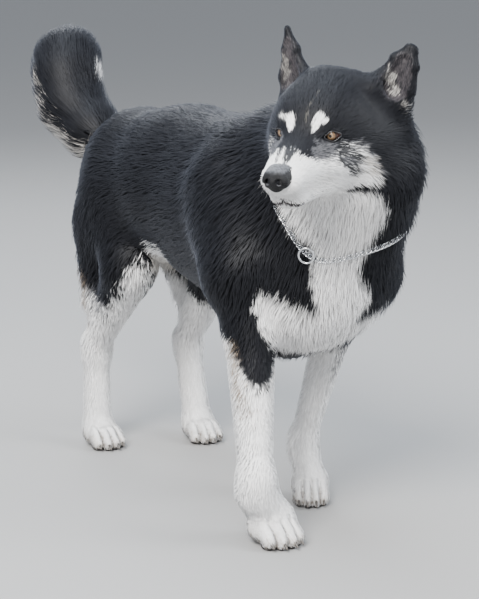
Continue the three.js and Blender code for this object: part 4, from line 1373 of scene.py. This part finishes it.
NOSE_REACH, NOSE_STEP = 32, 0.9
nose_middle = head_point(0, 104, -35)
nose_axes = [np.arange(at - NOSE_REACH, at + NOSE_REACH, NOSE_STEP) for at in nose_middle]
nose_points, nose_faces = surface_net(sample(nose_forms, nose_axes, None), nose_axes)
nose_points = draw_onto(nose_forms, nose_points)
nose_slope = unit(slope_of(nose_forms, nose_points)[1])
# lighter, bluish grey where the leather faces up, broken up by a noise
up_facing = np.clip(nose_slope @ CROWN * 2.2 - 0.9, 0, 1) * (0.75 + 0.25 * ripple(nose_points, 5, 31))
up_facing = np.clip(up_facing, 0, 1)[:, None]
nose_colour = NOSE_BLACK * (1 - up_facing) + NOSE_GREY * up_facing
leather, tree, principled = shader("pebbled_leather", Roughness=0.5, IOR=1.45, Coat_Weight=0.05,
                                   Coat_Roughness=0.3, Specular_IOR_Level=0.25)
tree.links.new(colour_of(tree), principled.inputs["Base Color"])
pebbles = node(tree, "TexVoronoi", Scale=620)
relief_from(tree, principled, pebbles.outputs["Distance"], 0.5, 0.0006).invert = True
place("nose_pad", nose_points, nose_faces, leather, "nose_leather", "nose", colour=nose_colour)


# %% [markdown]
# The lips are black where they meet. Their edge is a thin bar in the groove of the mouth,
# thinner towards the corners, drawn through the points that cut the groove and smoothed.

# %% Lips
def lip_path():
    """The line of the mouth from its right corner to its left one, smoothed and laid on the skin."""
    front = [head_point(-x, y, z) for x, y, z in MOUTH[::-1]]
    front += [head_point(x, y, z) for x, y, z in MOUTH[1:]]
    at = np.linspace(0, len(front) - 1, 70)
    p = np.stack([np.interp(at, np.arange(len(front)), np.array(front)[:, d]) for d in range(3)], 1)
    for _ in range(6):
        p[1:-1] = (p[:-2] + p[1:-1] + p[2:]) / 3
    return draw_onto(body, p, DEPTH, 4)


lips_line = lip_path()
thick = 1.5 * np.sin(np.linspace(0.12, np.pi - 0.12, len(lips_line))) ** 0.5
lip_points, lip_faces = bar(lips_line, thick, 8)
place("lip_edge", lip_points, lip_faces, damp_black, "nose_leather", colour=vec(0.014, 0.013, 0.014))


# %% [markdown]
# ## Claws, pads and whiskers
# The claws are blunt dark horn, curved down. Each is a bar that thins towards its tip, a
# little paler there, and it starts inside its toe.

# %% Claws
horn = pitted("horn", 500, 0.25, 0.0003, Roughness=0.38, IOR=1.54)
CLAW_LENGTH, CLAW_DROP, CLAW_SIDES = 13, 2.4, 10
CLAW_LOWEST = 2.4  # height of the middle of a claw over the floor, where it comes nearest
for name, paw in PAWS.items():
    end, side_name = name.split("_")
    for i, toe in enumerate(TOES):
        forward = unit(paw.toe(toe, 60, 5.5) - paw.toe(toe, 46, 12.5))
        down = unit(-UP + forward * forward[2])
        t = np.linspace(0, 1, 10)
        middle = paw.toe(toe, 50, 10.5)
        path = middle + forward * ((t - 0.5) * CLAW_LENGTH)[:, None] + down * (CLAW_DROP * t * t)[:, None]
        path[:, 2] = np.maximum(path[:, 2], CLAW_LOWEST)
        claw_points, claw_faces = bar(path, 2.7 - 1.7 * t ** 1.4, CLAW_SIDES)
        shade = np.repeat(0.035 + 0.05 * t ** 3, CLAW_SIDES)[:, None] * vec(1.1, 0.95, 0.8)
        place(f"{end}claw_horn_{side_name}_{i + 1}", claw_points, claw_faces, horn, "claw_horn",
              f"{end}claw_{side_name}_{i + 1}", colour=shade)

# %% [markdown]
# Under each paw are four toe pads and one large pad, black and rough. Only their edges show,
# but the dog stands on them: they are a surface net again, pressed flat at the floor.

# %% Pads
pad_leather = pitted("pad_leather", 900, 0.6, 0.0006, Roughness=0.75, IOR=1.45)
PAD_STEP = 1.8
for name, paw in PAWS.items():
    w = paw.width
    pad_forms = [Form("toe", paw.toe(t, 30, 5), paw.toe(t, 41, 5), (7 * w, 5.5), (5.5 * w, 4.5), 2, paw.side)
                 for t in TOES]
    pad_forms.append(Form("paw", paw.on(-8, 6), paw.on(10, 6), (18 * w, 7), (15 * w, 6), 3, paw.side))
    pad_axes = [np.arange(paw.at[0] - 50, paw.at[0] + 50, PAD_STEP),
                np.arange(paw.at[1] - 65, paw.at[1] + 50, PAD_STEP), np.arange(-4, 16, PAD_STEP)]
    pad_points, pad_faces = surface_net(sample(pad_forms, pad_axes, None), pad_axes)
    pad_points[:, 2] = np.clip(pad_points[:, 2], 0.0, None)
    place(f"pads_{name}", pad_points, pad_faces, pad_leather, "nose_leather",
          colour=vec(0.035, 0.030, 0.028))

# %% [markdown]
# A few stiff white whiskers stand in rows on the sides of the muzzle. Each is a bar of four
# sides, little more than half a millimetre thick at its root, that bends back and droops.

# %% Whiskers
whiskers = []
for s in (1, -1):
    for row, (z, forward) in enumerate([(-44, 80), (-50, 84), (-57, 80), (-62, 70)]):
        for k in range(4):
            y = forward - 11 * k
            start = draw_onto(body, head_point(34 * s, y, z)[None], DEPTH, 4)[0]
            way = unit(head_way(0.8 * s, -0.55 - 0.06 * k, -0.25 - 0.1 * row))
            long = 30 + 5 * k + rng.uniform(-4, 4)
            t = np.linspace(0, 1, 7)
            sag = (-AHEAD * 0.5 - UP * 0.6) * (t * t * long * 0.35)[:, None]
            path = start + way * (t * long)[:, None] + sag
            whiskers.append(bar(path, 0.26 * (1 - t) + 0.05, 4))
whisker_points, whisker_faces = joined(whiskers)
place("whiskers", whisker_points, whisker_faces, horn, "coat_white", colour=vec(0.55, 0.54, 0.52))

# %% [markdown]
# ## Chain and ring
# The collar is a steel curb chain: every link is an oval of wire, twisted by nearly a quarter
# turn, so that the links lie flat in each other. They follow the loop of the CAD tube, which
# droops at the throat and sinks into the coat at the sides and behind. An array modifier on
# a curve would bend the links; here each one is placed whole, at an equal distance.

# %% Chain loop
CHAIN_RADIUS, RING_RADIUS, RING_WIRE, GAP = 4, 11.5, 1.8, 0.3
LINK_PITCH = 6.6  # from one link to the next
LINK_REACH, LINK_BREADTH, LINK_WIRE = 5.3, 3.1, 1.05  # half a link's length and width, radius of its wire
LINK_POINTS, LOOP_POINTS, RING_POINTS = 22, 156, 64


def chain_points(angles):
    """Points of the loop at angles from its front: each goes out from the neck to the coat and droops."""
    signed = (angles + np.pi) % (2 * np.pi) - np.pi
    t = np.clip((np.abs(signed) - 0.75) / 0.75, 0, 1)
    depth = 2 + 12 * t * t * (3 - 2 * t)
    out = np.cos(angles)[:, None] * LOOP_FRONT + np.sin(angles)[:, None] * LOOP_SIDE
    droop = -36 * np.exp(-((signed + 0.17) / 0.5) ** 2)
    p = LOOP_MIDDLE + LOOP_NORMAL * droop[:, None] + out * 40
    for _ in range(160):
        inside = distance_to(body, p) < -depth
        if not inside.any():
            break
        p[inside] += out[inside]
    return p


loop = chain_points(np.arange(LOOP_POINTS) * 2 * np.pi / LOOP_POINTS)
for _ in range(3):
    loop = (np.roll(loop, 1, 0) + 2 * loop + np.roll(loop, -1, 0)) / 4
run = np.concatenate([[0], np.cumsum(np.linalg.norm(np.roll(loop, -1, 0) - loop, axis=1))])
links = round(run[-1] / LINK_PITCH)
at = (np.arange(links) + 0.5) * run[-1] / links
around = np.concatenate([loop, loop[:1]])


def on_loop(distance):
    distance = np.mod(distance, run[-1])
    return np.stack([np.interp(distance, run, around[:, d]) for d in range(3)], -1)


print(links, "links on a loop of", round(run[-1]), "mm")

# %% Chain links
link_middle = on_loop(at)
link_run = unit(on_loop(at + 2) - on_loop(at - 2))
link_up = unit(slope_of(body, link_middle)[1])
link_up = unit(link_up - link_run * (link_up * link_run).sum(1)[:, None])
link_side = np.cross(link_run, link_up)
turn = np.arange(LINK_POINTS) * 2 * np.pi / LINK_POINTS
x, y = LINK_REACH * np.cos(turn), LINK_BREADTH * np.sin(turn)
twist = math.radians(38) + x / LINK_REACH * math.radians(40)
parts = []
for c, t, u, v in zip(link_middle, link_run, link_up, link_side):
    path = c + t * x[:, None] + y[:, None] * (v * np.cos(twist)[:, None] + u * np.sin(twist)[:, None])
    parts.append(bar(path, LINK_WIRE, 6, closed=True, up=u))
link_points, link_faces = joined(parts)

# %% Polished steel
steel, tree, principled = shader("polished_steel", Base_Color=(0.66, 0.67, 0.69, 1), Metallic=1.0,
                                 Roughness=0.24)
worn = node(tree, "TexNoise", Scale=260)
span = node(tree, "MapRange", To_Min=0.16, To_Max=0.36)
tree.links.new(worn.outputs["Fac"], span.inputs["Value"])
tree.links.new(span.outputs["Result"], principled.inputs["Roughness"])
place("curb_chain", link_points, link_faces, steel, "chain_steel", "neck_chain")

# %% [markdown]
# A welded steel ring lies on the coat at the front, just clear of the chain. The weld shows
# as a small swelling of its wire.

# %% Steel ring
ring_at = chain_points(np.array([-0.28]))
ring_out = unit(slope_of(body, ring_at)[1])[0]
ring_middle = ring_at[0] + ring_out * (CHAIN_RADIUS + RING_WIRE + GAP)
ring_x = unit(np.cross(ring_out, UP))
ring_y = np.cross(ring_out, ring_x)
turn = np.arange(RING_POINTS) * 2 * np.pi / RING_POINTS
ring_path = ring_middle + RING_RADIUS * (np.cos(turn)[:, None] * ring_x + np.sin(turn)[:, None] * ring_y)
weld = 0.25 * np.exp(-((turn - 1.2) / 0.06) ** 2)
ring_points, ring_faces = bar(ring_path, RING_WIRE - 0.15 + weld, 14, closed=True, up=ring_out)
place("steel_ring", ring_points, ring_faces, steel, "chain_steel", "chain_ring")
